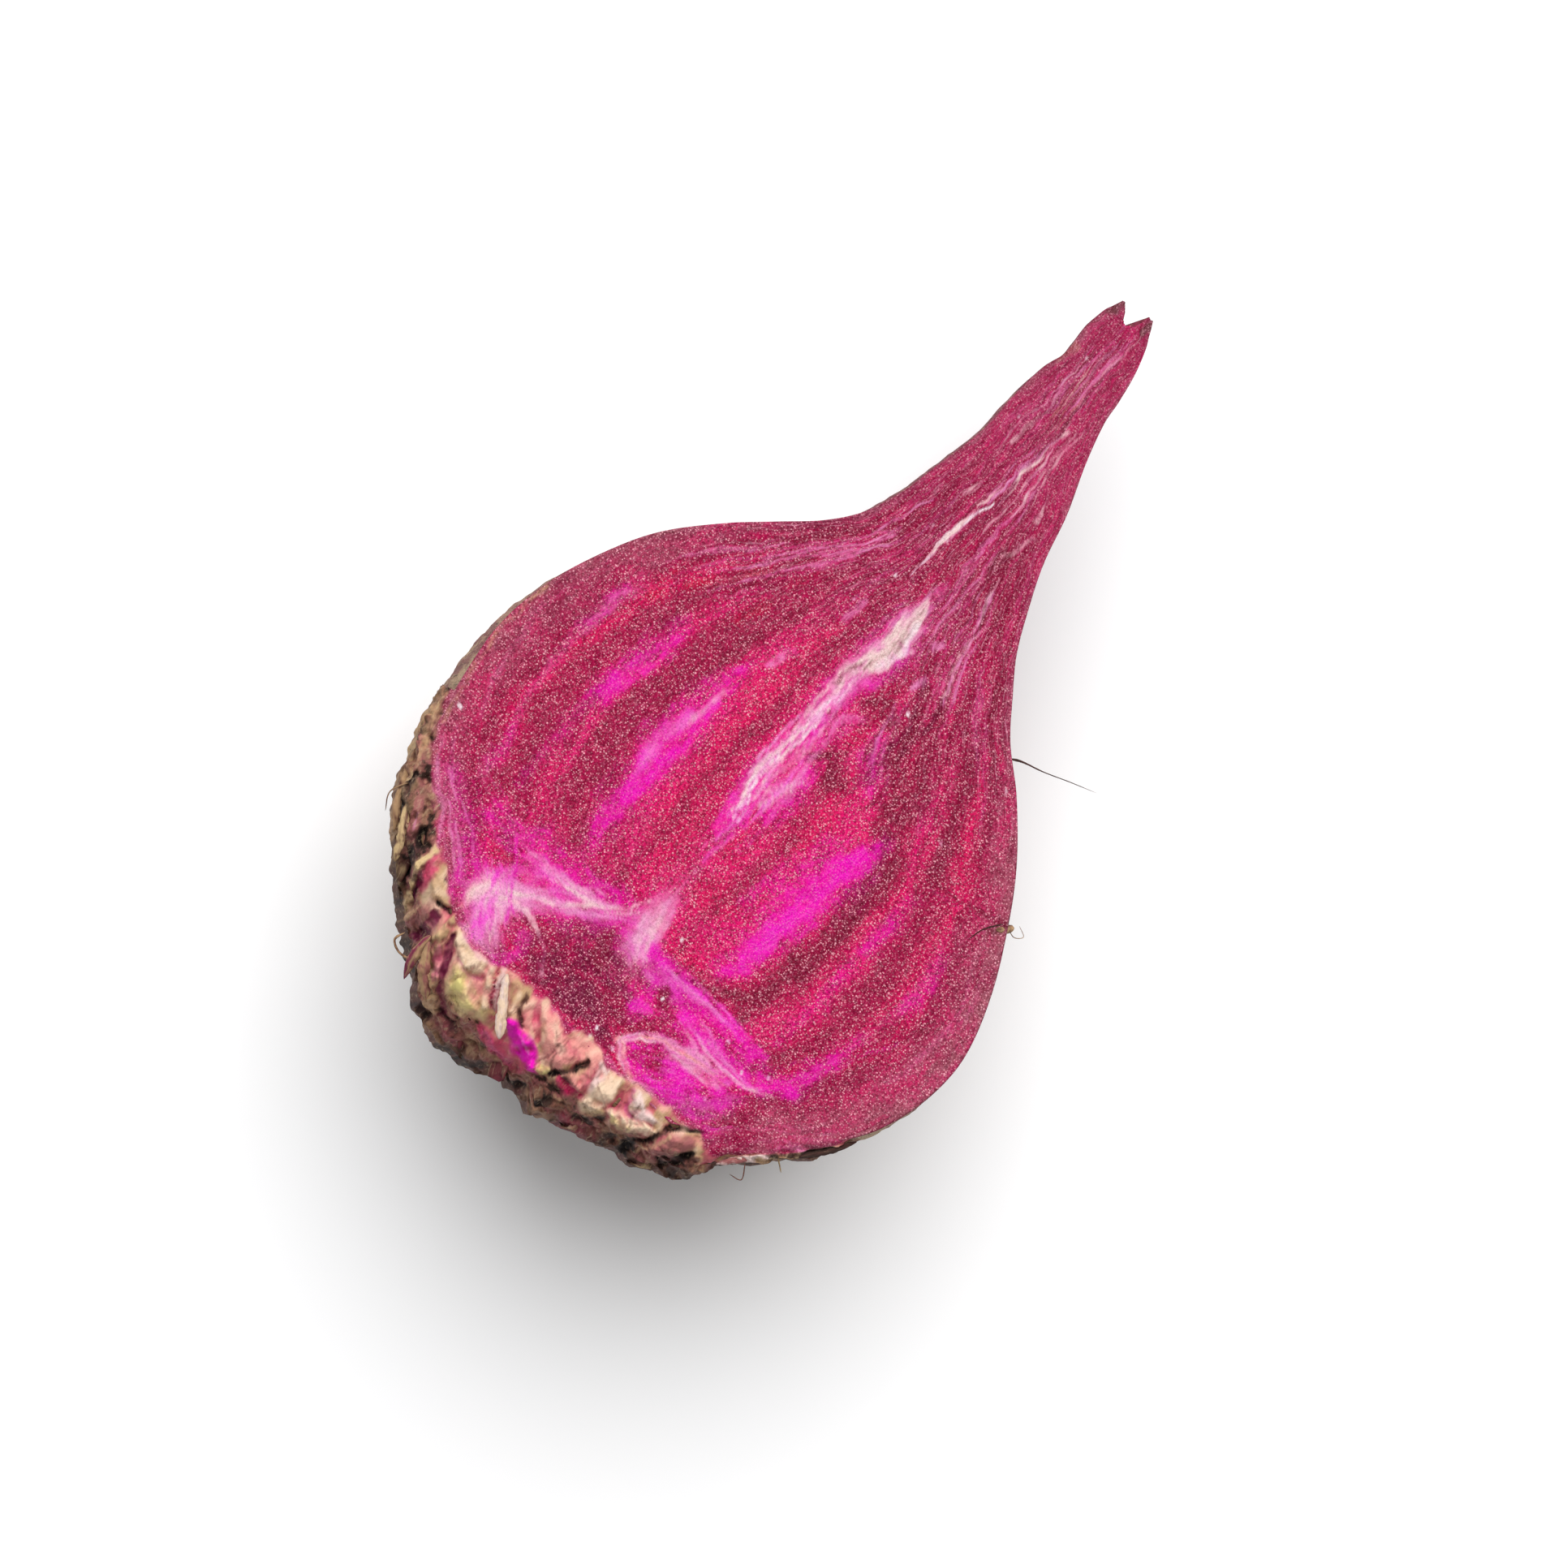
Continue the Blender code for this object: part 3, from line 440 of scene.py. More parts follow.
# Fibres that run side by side: tones, how many, spread, half-width, strength, then points along and across
bundles = (
    (("cream", "palePink"), 8, 1.0, 0.24, 0.70, (-14.4, 0.9), (-17, 4.0), (-18.4, 8), (-19.2, 12.6)),
    (("palePink", "rosePink"), 8, 1.6, 0.22, 0.40, (-19.2, 10), (-18.4, 15), (-16.6, 20)),
    (("cream", "palePink", "palePink"), 12, 1.6, 0.24, 0.75, (-16, 1.5), (-19.6, 6.4), (-22.2, 10.4),
     (-25, 14.4), (-28, 15.6)),
    (("palePink", "rosePink"), 14, 2.4, 0.22, 0.38, (-5, 0), (-11, -0.3), (-16, -0.8), (-20.4, -2.6)),
    (("cream", "palePink"), 9, 1.5, 0.22, 0.60, (-13.4, -0.4), (-16, -0.8), (-19, -2.0), (-20.6, -4.0)),
    (("palePink", "hotPink"), 7, 0.9, 0.22, 0.65, (-17.4, -2), (-17.7, -8), (-17.5, -14), (-16.8, -21)),
    (("palePink", "cream"), 8, 0.9, 0.24, 0.65, (-20.2, -10), (-21.2, -15), (-21.4, -20), (-19.4, -25.6)),
    (("cream", "palePink", "magenta"), 14, 2.6, 0.20, 0.60, (-29.6, 9.6), (-27, 11.6), (-24.6, 13),
     (-21.6, 16.6)),
    (("cream", "palePink"), 10, 1.8, 0.20, 0.60, (-27.4, 15.6), (-25, 14.6), (-23.2, 12.0), (-22.6, 8.6)),
    (("magenta", "hotPink"), 10, 2.4, 0.24, 0.50, (-29, 12), (-25.6, 13.6), (-22, 14.6), (-19, 18)),
    (("cream", "palePink", "salmon"), 9, 0.5, 0.20, 0.75, (-29.8, -11.8), (-28.6, -8.2), (-27, -6.8),
     (-25, -8.2), (-23.5, -11),
     (-22.6, -14.6), (-22.5, -18.8)),
    (("palePink",), 5, 0.5, 0.22, 0.65, (-27, -6.6), (-24.6, -8.6), (-23.2, -11.6), (-22.4, -15),
     (-22.3, -19.6)),
    (("palePink", "hotPink"), 6, 1.8, 0.22, 0.45, (-27.6, -9), (-26.4, -13), (-25.2, -17.6),
     (-23.6, -20.6)),
    (("palePink", "rosePink"), 9, 2.4, 0.22, 0.55, (-27, 17.6), (-23, 22), (-19, 26.6), (-14.6, 30.4)),
    (("palePink", "rosePink"), 7, 1.6, 0.20, 0.40, (-19.6, 15), (-17.6, 20), (-14.6, 25), (-11, 27.6)),
    (("palePink", "rosePink"), 7, 1.4, 0.20, 0.45, (-29.4, -20.6), (-25.6, -23.6), (-21, -28.6),
     (-16, -32.4)),
    (("hotPink", "magenta"), 6, 1.6, 0.22, 0.45, (-19.4, -19), (-17, -23.4), (-12, -27), (-6, -29.4)),
    (("cream", "palePink", "white"), 18, 1.3, 0.20, 0.85, (-1, 0.9), (6, 1.4), (14, 1.4), (21, 1.2)),
    (("cream",), 9, 1.1, 0.24, 0.70, (18, 1.4), (24, 0.6), (30, 0.0), (35, -0.3)),
    (("palePink", "cream", "rosePink"), 16, 2.2, 0.22, 0.60, (-4, -0.4), (2, -0.8), (8, -1.2),
     (14, -0.2), (20, 0.4)),
    (("hotPink", "palePink"), 12, 2.6, 0.26, 0.50, (-8, -0.4), (-1, -0.6), (6, -0.6), (13, 0.4)),
    (("wineDark", "pith"), 12, 3.0, 0.34, 0.60, (7, -6.4), (14, -8.6), (22, -8.0), (31, -5.4)),
    (("wineDark", "wine"), 10, 2.4, 0.30, 0.60, (9, -16.6), (17, -14.6), (25, -11.2), (34, -7)),
    (("wineDark", "wine"), 10, 2.8, 0.30, 0.50, (11, 20), (21, 14.6), (31, 9.6), (42, 6.6)),
    (("wineDark", "pith", "brown"), 16, 3.2, 0.18, 0.50, (34, 3), (45, 3), (58, 3.6), (72, 4.8)),
    (("wineDark", "brown"), 9, 2.6, 0.20, 0.50, (24, -7), (32, -4.4), (42, -1.8), (54, 0.6)),
    (("palePink", "cream", "tan"), 14, 2.8, 0.14, 0.55, (48, 3), (58, 3.6), (66, 4.2), (74, 5)),
    (("palePink", "cream"), 9, 1.4, 0.18, 0.60, (2.4, 0.4), (5.0, -1.2), (8.8, -3.2)),
    (("palePink",), 7, 1.4, 0.18, 0.55, (11.6, 0.6), (14.4, -0.9), (18.2, -2.8)),
    (("palePink",), 5, 0.7, 0.18, 0.45, (3, 11.2), (7, 10.4), (11, 9.9)),
    (("palePink", "rosePink"), 8, 1.3, 0.20, 0.50, (12, -10), (17, -7.2), (22, -5.2), (28, -3.6)),
    (("cream", "white"), 9, 0.5, 0.22, 0.90, (33.6, 4.0), (38, 3.5), (43, 3.4), (47, 3.0)),
    (("cream", "palePink"), 12, 1.1, 0.18, 0.80, (44, 3.4), (49, 2.6), (53, 2.2), (58, 1.8)),
    (("palePink", "cream"), 9, 1.4, 0.20, 0.65, (43, 0.0), (50, 0.2), (57, 0.6), (64, 1.6)),
    (("palePink", "rosePink", "salmon"), 10, 1.4, 0.18, 0.80, (26, 13.6), (30, 11.2), (34.6, 8.4),
     (42, 6.2)),
    (("rosePink", "palePink", "salmon"), 12, 2.0, 0.18, 0.80, (16, 22), (22, 17), (28, 12.6), (36, 8)),
    (("rosePink", "palePink"), 10, 1.6, 0.20, 0.45, (12, 26.6), (20, 21.4), (27, 15.6), (33, 11)),
    (("palePink", "rosePink"), 10, 1.6, 0.20, 0.55, (22, -3.6), (30, -2.6), (38, -1.8), (47, -1.2)),
    (("palePink", "rosePink", "cream"), 11, 1.7, 0.18, 0.75, (22, -9.6), (28, -7.4), (36, -5.2),
     (44, -3.4)),
    (("rosePink", "palePink"), 8, 1.6, 0.20, 0.40, (16, -21.6), (22, -17.6), (28, -12.6), (34, -8.6)),
    (("palePink", "rosePink"), 8, 2.0, 0.20, 0.50, (58, 3.6), (64, 3.8), (70, 4.0), (74, 4.6)),
    (("palePink", "rosePink"), 8, 2.0, 0.20, 0.40, (24, 7.2), (32, 6.2), (40, 5.0), (50, 5.2)),
    (("rosePink",), 8, 1.8, 0.20, 0.35, (46, 6.4), (54, 6.2), (62, 5.8), (70, 5.8)),
    (("rosePink", "crimson"), 8, 1.0, 0.22, 0.40, (-16, 26.4), (-8, 30.2), (2, 31.6), (12, 29)),
    (("rosePink", "crimson"), 8, 1.0, 0.22, 0.40, (-16, -30.4), (-8, -33.4), (2, -33.6), (12, -29.4)),
    (("rosePink", "palePink"), 8, 1.0, 0.20, 0.35, (-10, 26.4), (0, 27.0), (10, 26.0), (16, 22.4)),
)
# Painted highlights: the wet glints on the cut, painted white into its colour, along and across
paintedGlints = (
    (-29.2, -4), (-29.6, -4.6), (-30.3, -5.2), (-28.4, -6.8), (-28, -4), (-20.7, -7.4), (-19, -15.9),
     (-25.4, -18),
    (-20.3, -19.3), (-18.5, -22), (-14.5, -4.7), (22.3, -6.3), (14, -19), (23.4, -20.5), (33, 5),
     (27.7, 6.3),
    (67, 5.6), (56.5, 6.6), (-12, 31), (40, 5.5),
)


def combed(kindsOfBundle):  # the fibres of every bundle as strokes of their own
    chance = random.Random(3)
    fibres = []
    for kinds, count, spread, width, strength, *path in kindsOfBundle:
        for k in range(count):
            offset = spread * (2 * (k + 0.5) / count - 1) + chance.uniform(-0.3, 0.3)
            start = chance.uniform(0, 0.6) * (len(path) - 1)
            end = min(len(path) - 1, start + chance.uniform(0.25, 0.6) * (len(path) - 1))
            spots = []
            for i in range(6):
                place = blend(start, end, i / 5)
                a = min(int(place), len(path) - 2)
                (x0, y0), (x1, y1) = path[a], path[a + 1]
                length = math.hypot(x1 - x0, y1 - y0)
                t = place - a
                sway = offset * (0.75 + 0.25 * math.sin(place * 2.1 + k)) + chance.uniform(-0.10, 0.10)
                taper = width * (1.0 - 0.6 * abs(2 * i / 5 - 1) ** 2)
                spots.append((blend(x0, x1, t) - (y1 - y0) / length * sway,
                              blend(y0, y1, t) + (x1 - x0) / length * sway, taper))
            fibres.append((chance.choice(kinds), strength * chance.uniform(0.7, 1.1), 1.2, 0.7, *spots))
    return fibres


# Painted highlights: a small white dot laid for every wet glint
def paintedHighlights():
    return [("white", 0.95, 0.8, 0.2, (x, y, 0.22), (x + 0.12, y + 0.06, 0.22)) for x, y in paintedGlints]


def strokeMask(x, y, points, softness, fray, seed):
    spots = np.array(points)
    margin = 2.6 * spots[:, 2].max() + 0.6
    near = (x > spots[:, 0].min() - margin) & (x < spots[:, 0].max() + margin)
    near &= (y > spots[:, 1].min() - margin) & (y < spots[:, 1].max() + margin)
    mask = np.zeros(len(x))
    if near.any():
        mask[near] = nearMask(x[near], y[near], points, softness, fray, seed)
    return mask


def nearMask(x, y, points, softness, fray, seed):
    best = np.full(len(x), 9.0)
    along = np.zeros(len(x))
    across = np.zeros(len(x))
    done = 0.0
    for (x0, y0, w0), (x1, y1, w1) in zip(points, points[1:]):
        length = math.hypot(x1 - x0, y1 - y0)
        wayX, wayY = (x1 - x0) / length, (y1 - y0) / length
        run = (x - x0) * wayX + (y - y0) * wayY
        t = np.clip(run / length, 0, 1)
        away = np.hypot(x - x0 - t * length * wayX, y - y0 - t * length * wayY)
        near = away / blend(w0, w1, t)
        closer = near < best
        best = np.where(closer, near, best)
        along = np.where(closer, done + run, along)
        across = np.where(closer, (y - y0) * wayX - (x - x0) * wayY, across)
        done += length
    fibres = roughNoise(flat(along / 3.0, across / 0.55), 1.0, seed, 3)
    best = best + fray * 0.55 * fibres
    mottle = 0.80 + 0.50 * roughNoise(flat(x, y), 0.9, seed + 7, 3)
    return smooth(1.0 + softness * 0.35 - best, 0.0, softness) * np.clip(mottle, 0.3, 1.0)


def tinted(colour, tone, share):  # a tone laid over a share of the colour
    return blend(colour, tones[tone], share[:, None])


def bandTone(places, table):
    spots = [place for place, tone in table]
    shades = np.array([tones[tone] for place, tone in table])
    return np.stack([np.interp(places, spots, shades[:, k]) for k in range(3)], 1)


def fleshWays(x, y):  # how far out from the middle a spot of flesh grew, and how far along
    left, right = edgesAt(np.maximum(x, flesh["bendFrom"]))
    middle = (left + right) / 2
    half = (left - right) / 2
    side = (y - middle) / half
    behind = np.clip(flesh["bendFrom"] - x, 0, None) / flesh["reach"]
    bend = flesh["bendSway"] * np.abs(side) ** 2 * (x < flesh["bendFrom"]) * behind
    return np.hypot(side, behind), side, x + bend


def fleshColour(x, y):
    wide = flat(x, y)
    sway = flat(roughNoise(wide, 6.0, 1), roughNoise(wide, 6.0, 2))
    fine = flat(roughNoise(wide, 1.3, 3), roughNoise(wide, 1.3, 4))
    out, side, along = fleshWays(x + 0.5 * sway[:, 0], y + 0.5 * sway[:, 1] + 0.15 * fine[:, 1])
    streak = roughNoise(flat(along / 7.0, out * flesh["reach"] / 0.9), 1.0, 11, 4)
    place = out + 0.018 * streak
    reachLeft, reachRight = flesh["bandReach"]
    colour = np.where((side > 0)[:, None], bandTone(place * reachLeft, bandsLeft),
                      bandTone(place * reachRight, bandsRight))
    neck = smooth(x, *flesh["neck"])[:, None]
    lines = roughNoise(flat(along / 14.0, out * 20 / 0.8), 1.0, 23, 4)[:, None]
    neckTone = np.where(lines > 0, blend(tones["wine"], tones["rosePink"], np.clip(lines, 0, 1) * 0.50),
                        blend(tones["wine"], tones["wineDark"], np.clip(-lines * 1.8, 0, 1)))
    tailShare = smooth(x, *flesh["tail"])[:, None]
    neckTone = blend(neckTone, blend(tones["tail"], neckTone, 0.45), tailShare)
    rimShare = smooth(out, *flesh["rim"])[:, None]
    neckTone = blend(neckTone, tones["rim"], rimShare * 0.7)
    colour = blend(colour, neckTone, neck * 0.90)
    patches = roughNoise(flat(along / 3.2, out * flesh["reach"] / 1.5), 1.0, 31, 4)[:, None]
    colour = blend(colour, tones["wineDark"], np.clip(patches, 0, 1) * 0.45)
    colour = blend(colour, tones["crimson"], np.clip(-patches, 0, 1) * 0.45)
    pale = np.zeros(len(x))
    px = x + 0.35 * sway[:, 0] + 0.16 * fine[:, 0]
    py = y + 0.35 * sway[:, 1] + 0.16 * fine[:, 1]
    # the strokes, their fibres, and the painted highlights of the wet glints
    laid = (*strokes, *combed(bundles), *paintedHighlights())
    for seed, (tone, strength, softness, fray, *points) in enumerate(laid):
        share = min(1.0, flesh["darkBoost"] * strength) if tone in ("wine", "wineDark") else strength
        mask = share * strokeMask(px, py, points, softness, fray, 100 + seed)
        colour = tinted(colour, tone, mask)
        if tone in paleTones:
            pale = np.maximum(pale, mask)
    return colour, pale, along, out


# The root's mesh: the cut face and the skin, one closed body

def rootMesh():
    n, acrossCount, aroundCount = root["stations"], root["cutSides"], root["skinSides"]
    share = np.linspace(0, 1, n + 1)
    x = blend(rootFirst, rootLast, 0.72 * share + 0.28 * share**2)
    left, right = edgesAt(x)
    s = np.linspace(-1, 1, acrossCount + 1)
    cutX = np.repeat(x[:, None], acrossCount + 1, 1)
    cutY = (left + right)[:, None] / 2 + s[None, :] * (left - right)[:, None] / 2
    notchPlaces, notchEnds = zip(*root["tipNotch"])
    ends = np.interp(s, notchPlaces, notchEnds) + 0.12 * roughNoise(flat(s * 9, s * 0), 1.0, 5)
    reach = smooth(x, root["notchFrom"], rootLast)[:, None]
    cutX = cutX + reach * (ends[None, :] - rootLast)
    cut = np.stack([cutX.ravel(), cutY.ravel(), np.zeros(cutX.size)], 1)
    middle, height, halfWidth, halfDepth = (a[:, None] for a in ringAt(x))
    first = np.arcsin(np.clip(-height / halfDepth, 0, 1))
    t = np.r_[0.0025, 0.010, np.linspace(0.025, 0.975, aroundCount - 5), 0.990, 0.9975][None, :]
    angle = first - t * (math.pi + 2 * first)
    skinY = middle + halfWidth * np.cos(angle)
    skinSpread = np.clip((skinY - (left + right)[:, None] / 2) / ((left - right)[:, None] / 2), -1, 1)
    skinX = x[:, None] + reach * (np.interp(skinSpread, notchPlaces, notchEnds) - rootLast)
    skin = np.stack([skinX, skinY, height + halfDepth * np.sin(angle)], 2)
    away = skin - np.stack([skinX, middle + 0 * angle, height + 0 * angle], 2)
    away[:, :, 0] = 0
    depth = np.minimum(1.0, np.abs(skin[:, :, 2]) / (0.5 * halfDepth))
    size = np.minimum(1.0, halfWidth / 15)
    lumpHeight, lumpSize = root["lumps"]
    lump = np.array([noise.noise(Vector(p) / lumpSize) for p in skin.reshape(-1, 3)])
    lump = lump.reshape(depth.shape) * lumpHeight
    furrowDepth, spacing = root["furrows"]
    shoulder = np.maximum(0.0, 1 - np.abs(skin[:, :, 0] + 12) / 16)
    furrow = -furrowDepth * shoulder * np.cos(2 * np.pi * skin[:, :, 0] / spacing) ** 8
    flatPoints = skin.reshape(-1, 3)
    ringLines = roughNoise(flatPoints * (1.0, 0.12, 0.12), 0.8, 41).reshape(depth.shape)
    crumbs = roughNoise(flatPoints, 1.6, 42).reshape(depth.shape)
    bark = root["bark"] * (crumbs + ringLines * smooth(-skin[:, :, 0], -14, 12))
    bark = bark * np.minimum(1.0, depth * 4)
    step = ((lump + furrow) * depth + bark - root["bark"]) * size
    skin = skin + away / np.linalg.norm(away, axis=2)[:, :, None] * step[:, :, None]
    relief = 0.05 * roughNoise(cut * (0.5, 1.0, 1.0), 1.4, 43) + 0.03 * roughNoise(cut, 0.5, 44)
    inside = np.minimum(1.0, (1 - np.abs(np.tile(s, n + 1))) * 30)
    cut[:, 2] = (relief - 0.06) * inside
    rows, skinRows = acrossCount + 1, aroundCount - 1
    points = np.vstack([cut, skin.reshape(-1, 3)])
    skinStart = len(cut)
    faces, slots = [], []
    for i in range(n):
        for j in range(acrossCount):
            a = i * rows + j
            faces.append((a, a + rows, a + rows + 1, a + 1))
        skinFirst = skinStart + i * skinRows
        here = [i * rows + acrossCount, *range(skinFirst, skinFirst + skinRows), i * rows]
        there = [h + (rows if k in (0, len(here) - 1) else skinRows) for k, h in enumerate(here)]
        slots += [0] * acrossCount + [1] * aroundCount
        faces += [(here[k], there[k], there[k + 1], here[k + 1]) for k in range(aroundCount)]
    for i, tip in ((0, (rootFirst - 0.9, middle[0, 0], height[0, 0])), (n, root["tipBottom"])):
        loop = [i * rows + j for j in range(rows)]
        loop += [skinStart + i * skinRows + k for k in range(skinRows)]
        points = np.vstack([points, tip])
        for k, vertex in enumerate(loop):
            pair = (vertex, loop[(k + 1) % len(loop)])
            faces.append((*(pair if i == 0 else pair[::-1]), len(points) - 1))
            slots.append(1)
    return points, faces, slots, skinStart


def skinColour(points):
    x = points[:, 0]
    spots = roughNoise(points, 5.0, 52)
    crumbs = roughNoise(points, 2.4, 53)
    wash = blend(tones["skinWarm"], tones["skinPale"], smooth(spots - x / 24, -0.7, 0.7)[:, None])
    tailTone = blend(tones["tailSkin"], tones["tailSkinPale"], smooth(crumbs, -0.4, 0.8)[:, None])
    wash = blend(wash, tailTone, smooth(x, 16, 40)[:, None] * 0.85)
    return blend(wash, tones["tipSkin"], smooth(x, 72, 76)[:, None] * 0.8)


# Materials

def newMaterial(name):
    material = bpy.data.materials.new(name)
    material.use_nodes = True
    return material, material.node_tree, material.node_tree.nodes["Principled BSDF"]


def node(tree, kind, inputs=None, **settings):
    made = tree.nodes.new(kind)
    for key, value in settings.items():
        setattr(made, key, value)
    for key, value in (inputs or {}).items():
        if isinstance(value, bpy.types.NodeSocket):
            tree.links.new(value, made.inputs[key])
        else:
            made.inputs[key].default_value = value
    return made


def attribute(tree, name, socket="Fac"):
    return node(tree, "ShaderNodeAttribute", attribute_name=name).outputs[socket]


def stretched(tree, vector, scale):
    return node(tree, "ShaderNodeMapping", {"Vector": vector, "Scale": scale}).outputs["Vector"]


def noiseNode(tree, vector, scale, detail=3.0, rough=0.55):
    settings = {"Vector": vector, "Scale": scale, "Detail": detail, "Roughness": rough}
    return node(tree, "ShaderNodeTexNoise", settings).outputs["Fac"]


def between(tree, value, low, high, top=1.0, bottom=0.0):
    settings = {"Value": value, "From Min": low, "From Max": high, "To Min": bottom, "To Max": top}
    return node(tree, "ShaderNodeMapRange", settings).outputs["Result"]


def sums(tree, operation, first, second):
    return node(tree, "ShaderNodeMath", {0: first, 1: second}, operation=operation).outputs["Value"]


def times(tree, first, second):
    return sums(tree, "MULTIPLY", first, second)


def plus(tree, first, second):
    return sums(tree, "ADD", first, second)


def washed(tree, colour, share, tone, kind="MIX"):  # a colour with a second tone laid over a share of it
    made = node(tree, "ShaderNodeMix", data_type="RGBA", blend_type=kind)
    tree.links.new(share, made.inputs[0])
    tree.links.new(colour, made.inputs[6])
    made.inputs[7].default_value = (*toLinear(srgb(*tone)), 1.0)
    return made.outputs[2]


def finished(tree, shader, colour, height, finish):  # the last sockets, alike for all three materials
    tree.links.new(colour, shader.inputs["Base Color"])
    relief = {"Height": height, "Strength": finish["bumpStrength"], "Distance": finish["bump"] * mm}
    tree.links.new(node(tree, "ShaderNodeBump", relief).outputs["Normal"], shader.inputs["Normal"])
    shader.inputs["Specular IOR Level"].default_value = finish["specular"]


fleshFinish = {
    "grainSparkle": (255, 178, 192),  # the light granules in the flesh: the cells' own grain together with painted sparkle highlights of the wet cells
    "grainSparkleShare": 0.95,
    "grainSparkleSizes": (0.23, 0.33),  # mm
    "grainSparklePatches": 0.8,  # mm
    "between": (92, 0, 34),  # the dark between them
    "speckleSize": 0.30,
    "streak": (236, 160, 186),
    "deep": (104, 24, 56),
    "clump": (160, 50, 90),
    "clumpLight": (240, 10, 110),
    "clumpSize": 1.1,
    "fuzzLight": (244, 158, 194),
    "fuzzDark": (150, 40, 96),
    "fuzzSize": 0.22,
    "roughness": (0.34, 0.52),
    "glossSize": 1.2,
    "specular": 0.04,
    "bump": 0.12,  # mm
    "bumpStrength": 0.6,
}


# Light dots of the cells' grain, which also carry the painted sparkle highlights of the wet cells
def grainSparkleLayer(tree, where, size, low, high):
    settings = {"Vector": where, "Scale": 1 / (size * mm), "Randomness": 1.0}
    cells = node(tree, "ShaderNodeTexVoronoi", settings)
    parts = node(tree, "ShaderNodeSeparateColor", {"Color": cells.outputs["Color"]})
    dots = between(tree, cells.outputs["Distance"], 0.44, 0.20)
    return times(tree, dots, between(tree, parts.outputs["Red"], low, high))


def fleshMaterial():
    material, tree, shader = newMaterial("cut_flesh")
    look = fleshFinish
    where = node(tree, "ShaderNodeTexCoord").outputs["Object"]
    ways = attribute(tree, "fleshWay", "Vector")
    grainAndSparkle, streaky = attribute(tree, "grainAndSparkle"), attribute(tree, "streaky")
    small, large = look["grainSparkleSizes"]
    # the flesh's granules: the cells' grain and the painted sparkle highlights of their wet surfaces
    grainSparkles = sums(tree, "MAXIMUM", grainSparkleLayer(tree, where, small, 0.30, 0.95),
                  grainSparkleLayer(tree, where, large, 0.55, 1.0))
    patches = noiseNode(tree, where, 1 / (look["grainSparklePatches"] * mm), 4.0)
    grainSparkles = times(tree, times(tree, grainSparkles, between(tree, patches, 0.14, 0.48)), grainAndSparkle)
    speckle = noiseNode(tree, where, 1 / (look["speckleSize"] * mm), 2.0, 0.7)
    threads = noiseNode(tree, stretched(tree, ways, (0.30, 2.6, 1.0)), 1.0, 4.0, 0.6)
    deep = noiseNode(tree, stretched(tree, ways, (0.45, 3.4, 1.0)), 1.0, 4.0, 0.6)
    clumps = noiseNode(tree, where, 1 / (look["clumpSize"] * mm), 5.0, 0.7)
    fuzz = noiseNode(tree, where, 1 / (look["fuzzSize"] * mm), 3.0, 0.7)
    colour = attribute(tree, "surfaceColour", "Color")
    for share, tone, kind in (
        (times(tree, between(tree, speckle, 0.44, 0.62, 0.68), grainAndSparkle), "between", "MIX"),
        # painted sparkle highlights, laid with the grain
        (times(tree, grainSparkles, look["grainSparkleShare"]), "grainSparkle", "MIX"),
        (times(tree, between(tree, threads, 0.54, 0.70), streaky), "streak", "MIX"),
        (times(tree, between(tree, deep, 0.54, 0.74), streaky), "deep", "MULTIPLY"),
        (times(tree, between(tree, clumps, 0.52, 0.68, 0.24), grainAndSparkle), "clump", "MULTIPLY"),
        (times(tree, between(tree, clumps, 0.48, 0.34, 0.12), grainAndSparkle), "clumpLight", "MIX"),
        (between(tree, fuzz, 0.52, 0.75, 0.30), "fuzzLight", "MIX"),
        (between(tree, fuzz, 0.48, 0.28, 0.45), "fuzzDark", "MULTIPLY"),
    ):
        colour = washed(tree, colour, share, look[tone], kind)
    gloss = noiseNode(tree, where, 1 / (look["glossSize"] * mm), 3.0)
    smoothest, roughest = look["roughness"]
    tree.links.new(between(tree, gloss, 0.3, 0.7, roughest, smoothest), shader.inputs["Roughness"])
    height = plus(tree, times(tree, grainSparkles, 0.5), times(tree, threads, 1.2))
    finished(tree, shader, colour, plus(tree, height, times(tree, speckle, 0.6)), look)
    return material


dryFinish = {
    "crumb": (108, 76, 64),
    "crumbSize": 1.1,  # mm
    "threadLight": (222, 196, 160),
    "threadDark": (84, 56, 48),
    "threadScale": (0.9, 2.6, 1.0),  # along, across, through
    "roughness": 0.75,
    "specular": 0.2,
    "bump": 0.22,  # mm
    "bumpStrength": 0.8,
}


def dryMaterial():
    material, tree, shader = newMaterial("dry_leaf_bases")
    look = dryFinish
    where = node(tree, "ShaderNodeTexCoord").outputs["Object"]
    ways = attribute(tree, "fleshWay", "Vector")
    dry = attribute(tree, "dry")
    crumbs = noiseNode(tree, where, 1 / (look["crumbSize"] * mm), 6.0, 0.65)
    threads = noiseNode(tree, stretched(tree, ways, look["threadScale"]), 1.0, 5.0, 0.65)
    colour = attribute(tree, "surfaceColour", "Color")
    for share, tone, kind in (
        (between(tree, crumbs, 0.52, 0.72, 0.6), "crumb", "MULTIPLY"),
        (between(tree, threads, 0.55, 0.72, 0.5), "threadLight", "MIX"),
        (between(tree, threads, 0.46, 0.30, 0.6), "threadDark", "MULTIPLY"),
    ):
        colour = washed(tree, colour, times(tree, share, dry), look[tone], kind)
    shader.inputs["Roughness"].default_value = look["roughness"]
    finished(tree, shader, colour, plus(tree, crumbs, times(tree, threads, 1.4)), look)
    return material


skinFinish = {
    "wash": (126, 50, 66),  # where the red shows through
    "washShare": 0.75,
    "ridge": (206, 180, 144),
    "flakeSize": 1.6,  # mm
    "crack": (46, 30, 28),
    "crumb": (96, 62, 54),
    "crumbSize": 0.5,  # mm
    "roughness": 0.72,
    "specular": 0.25,
    "bump": 0.35,  # mm
    "bumpStrength": 0.9,
}


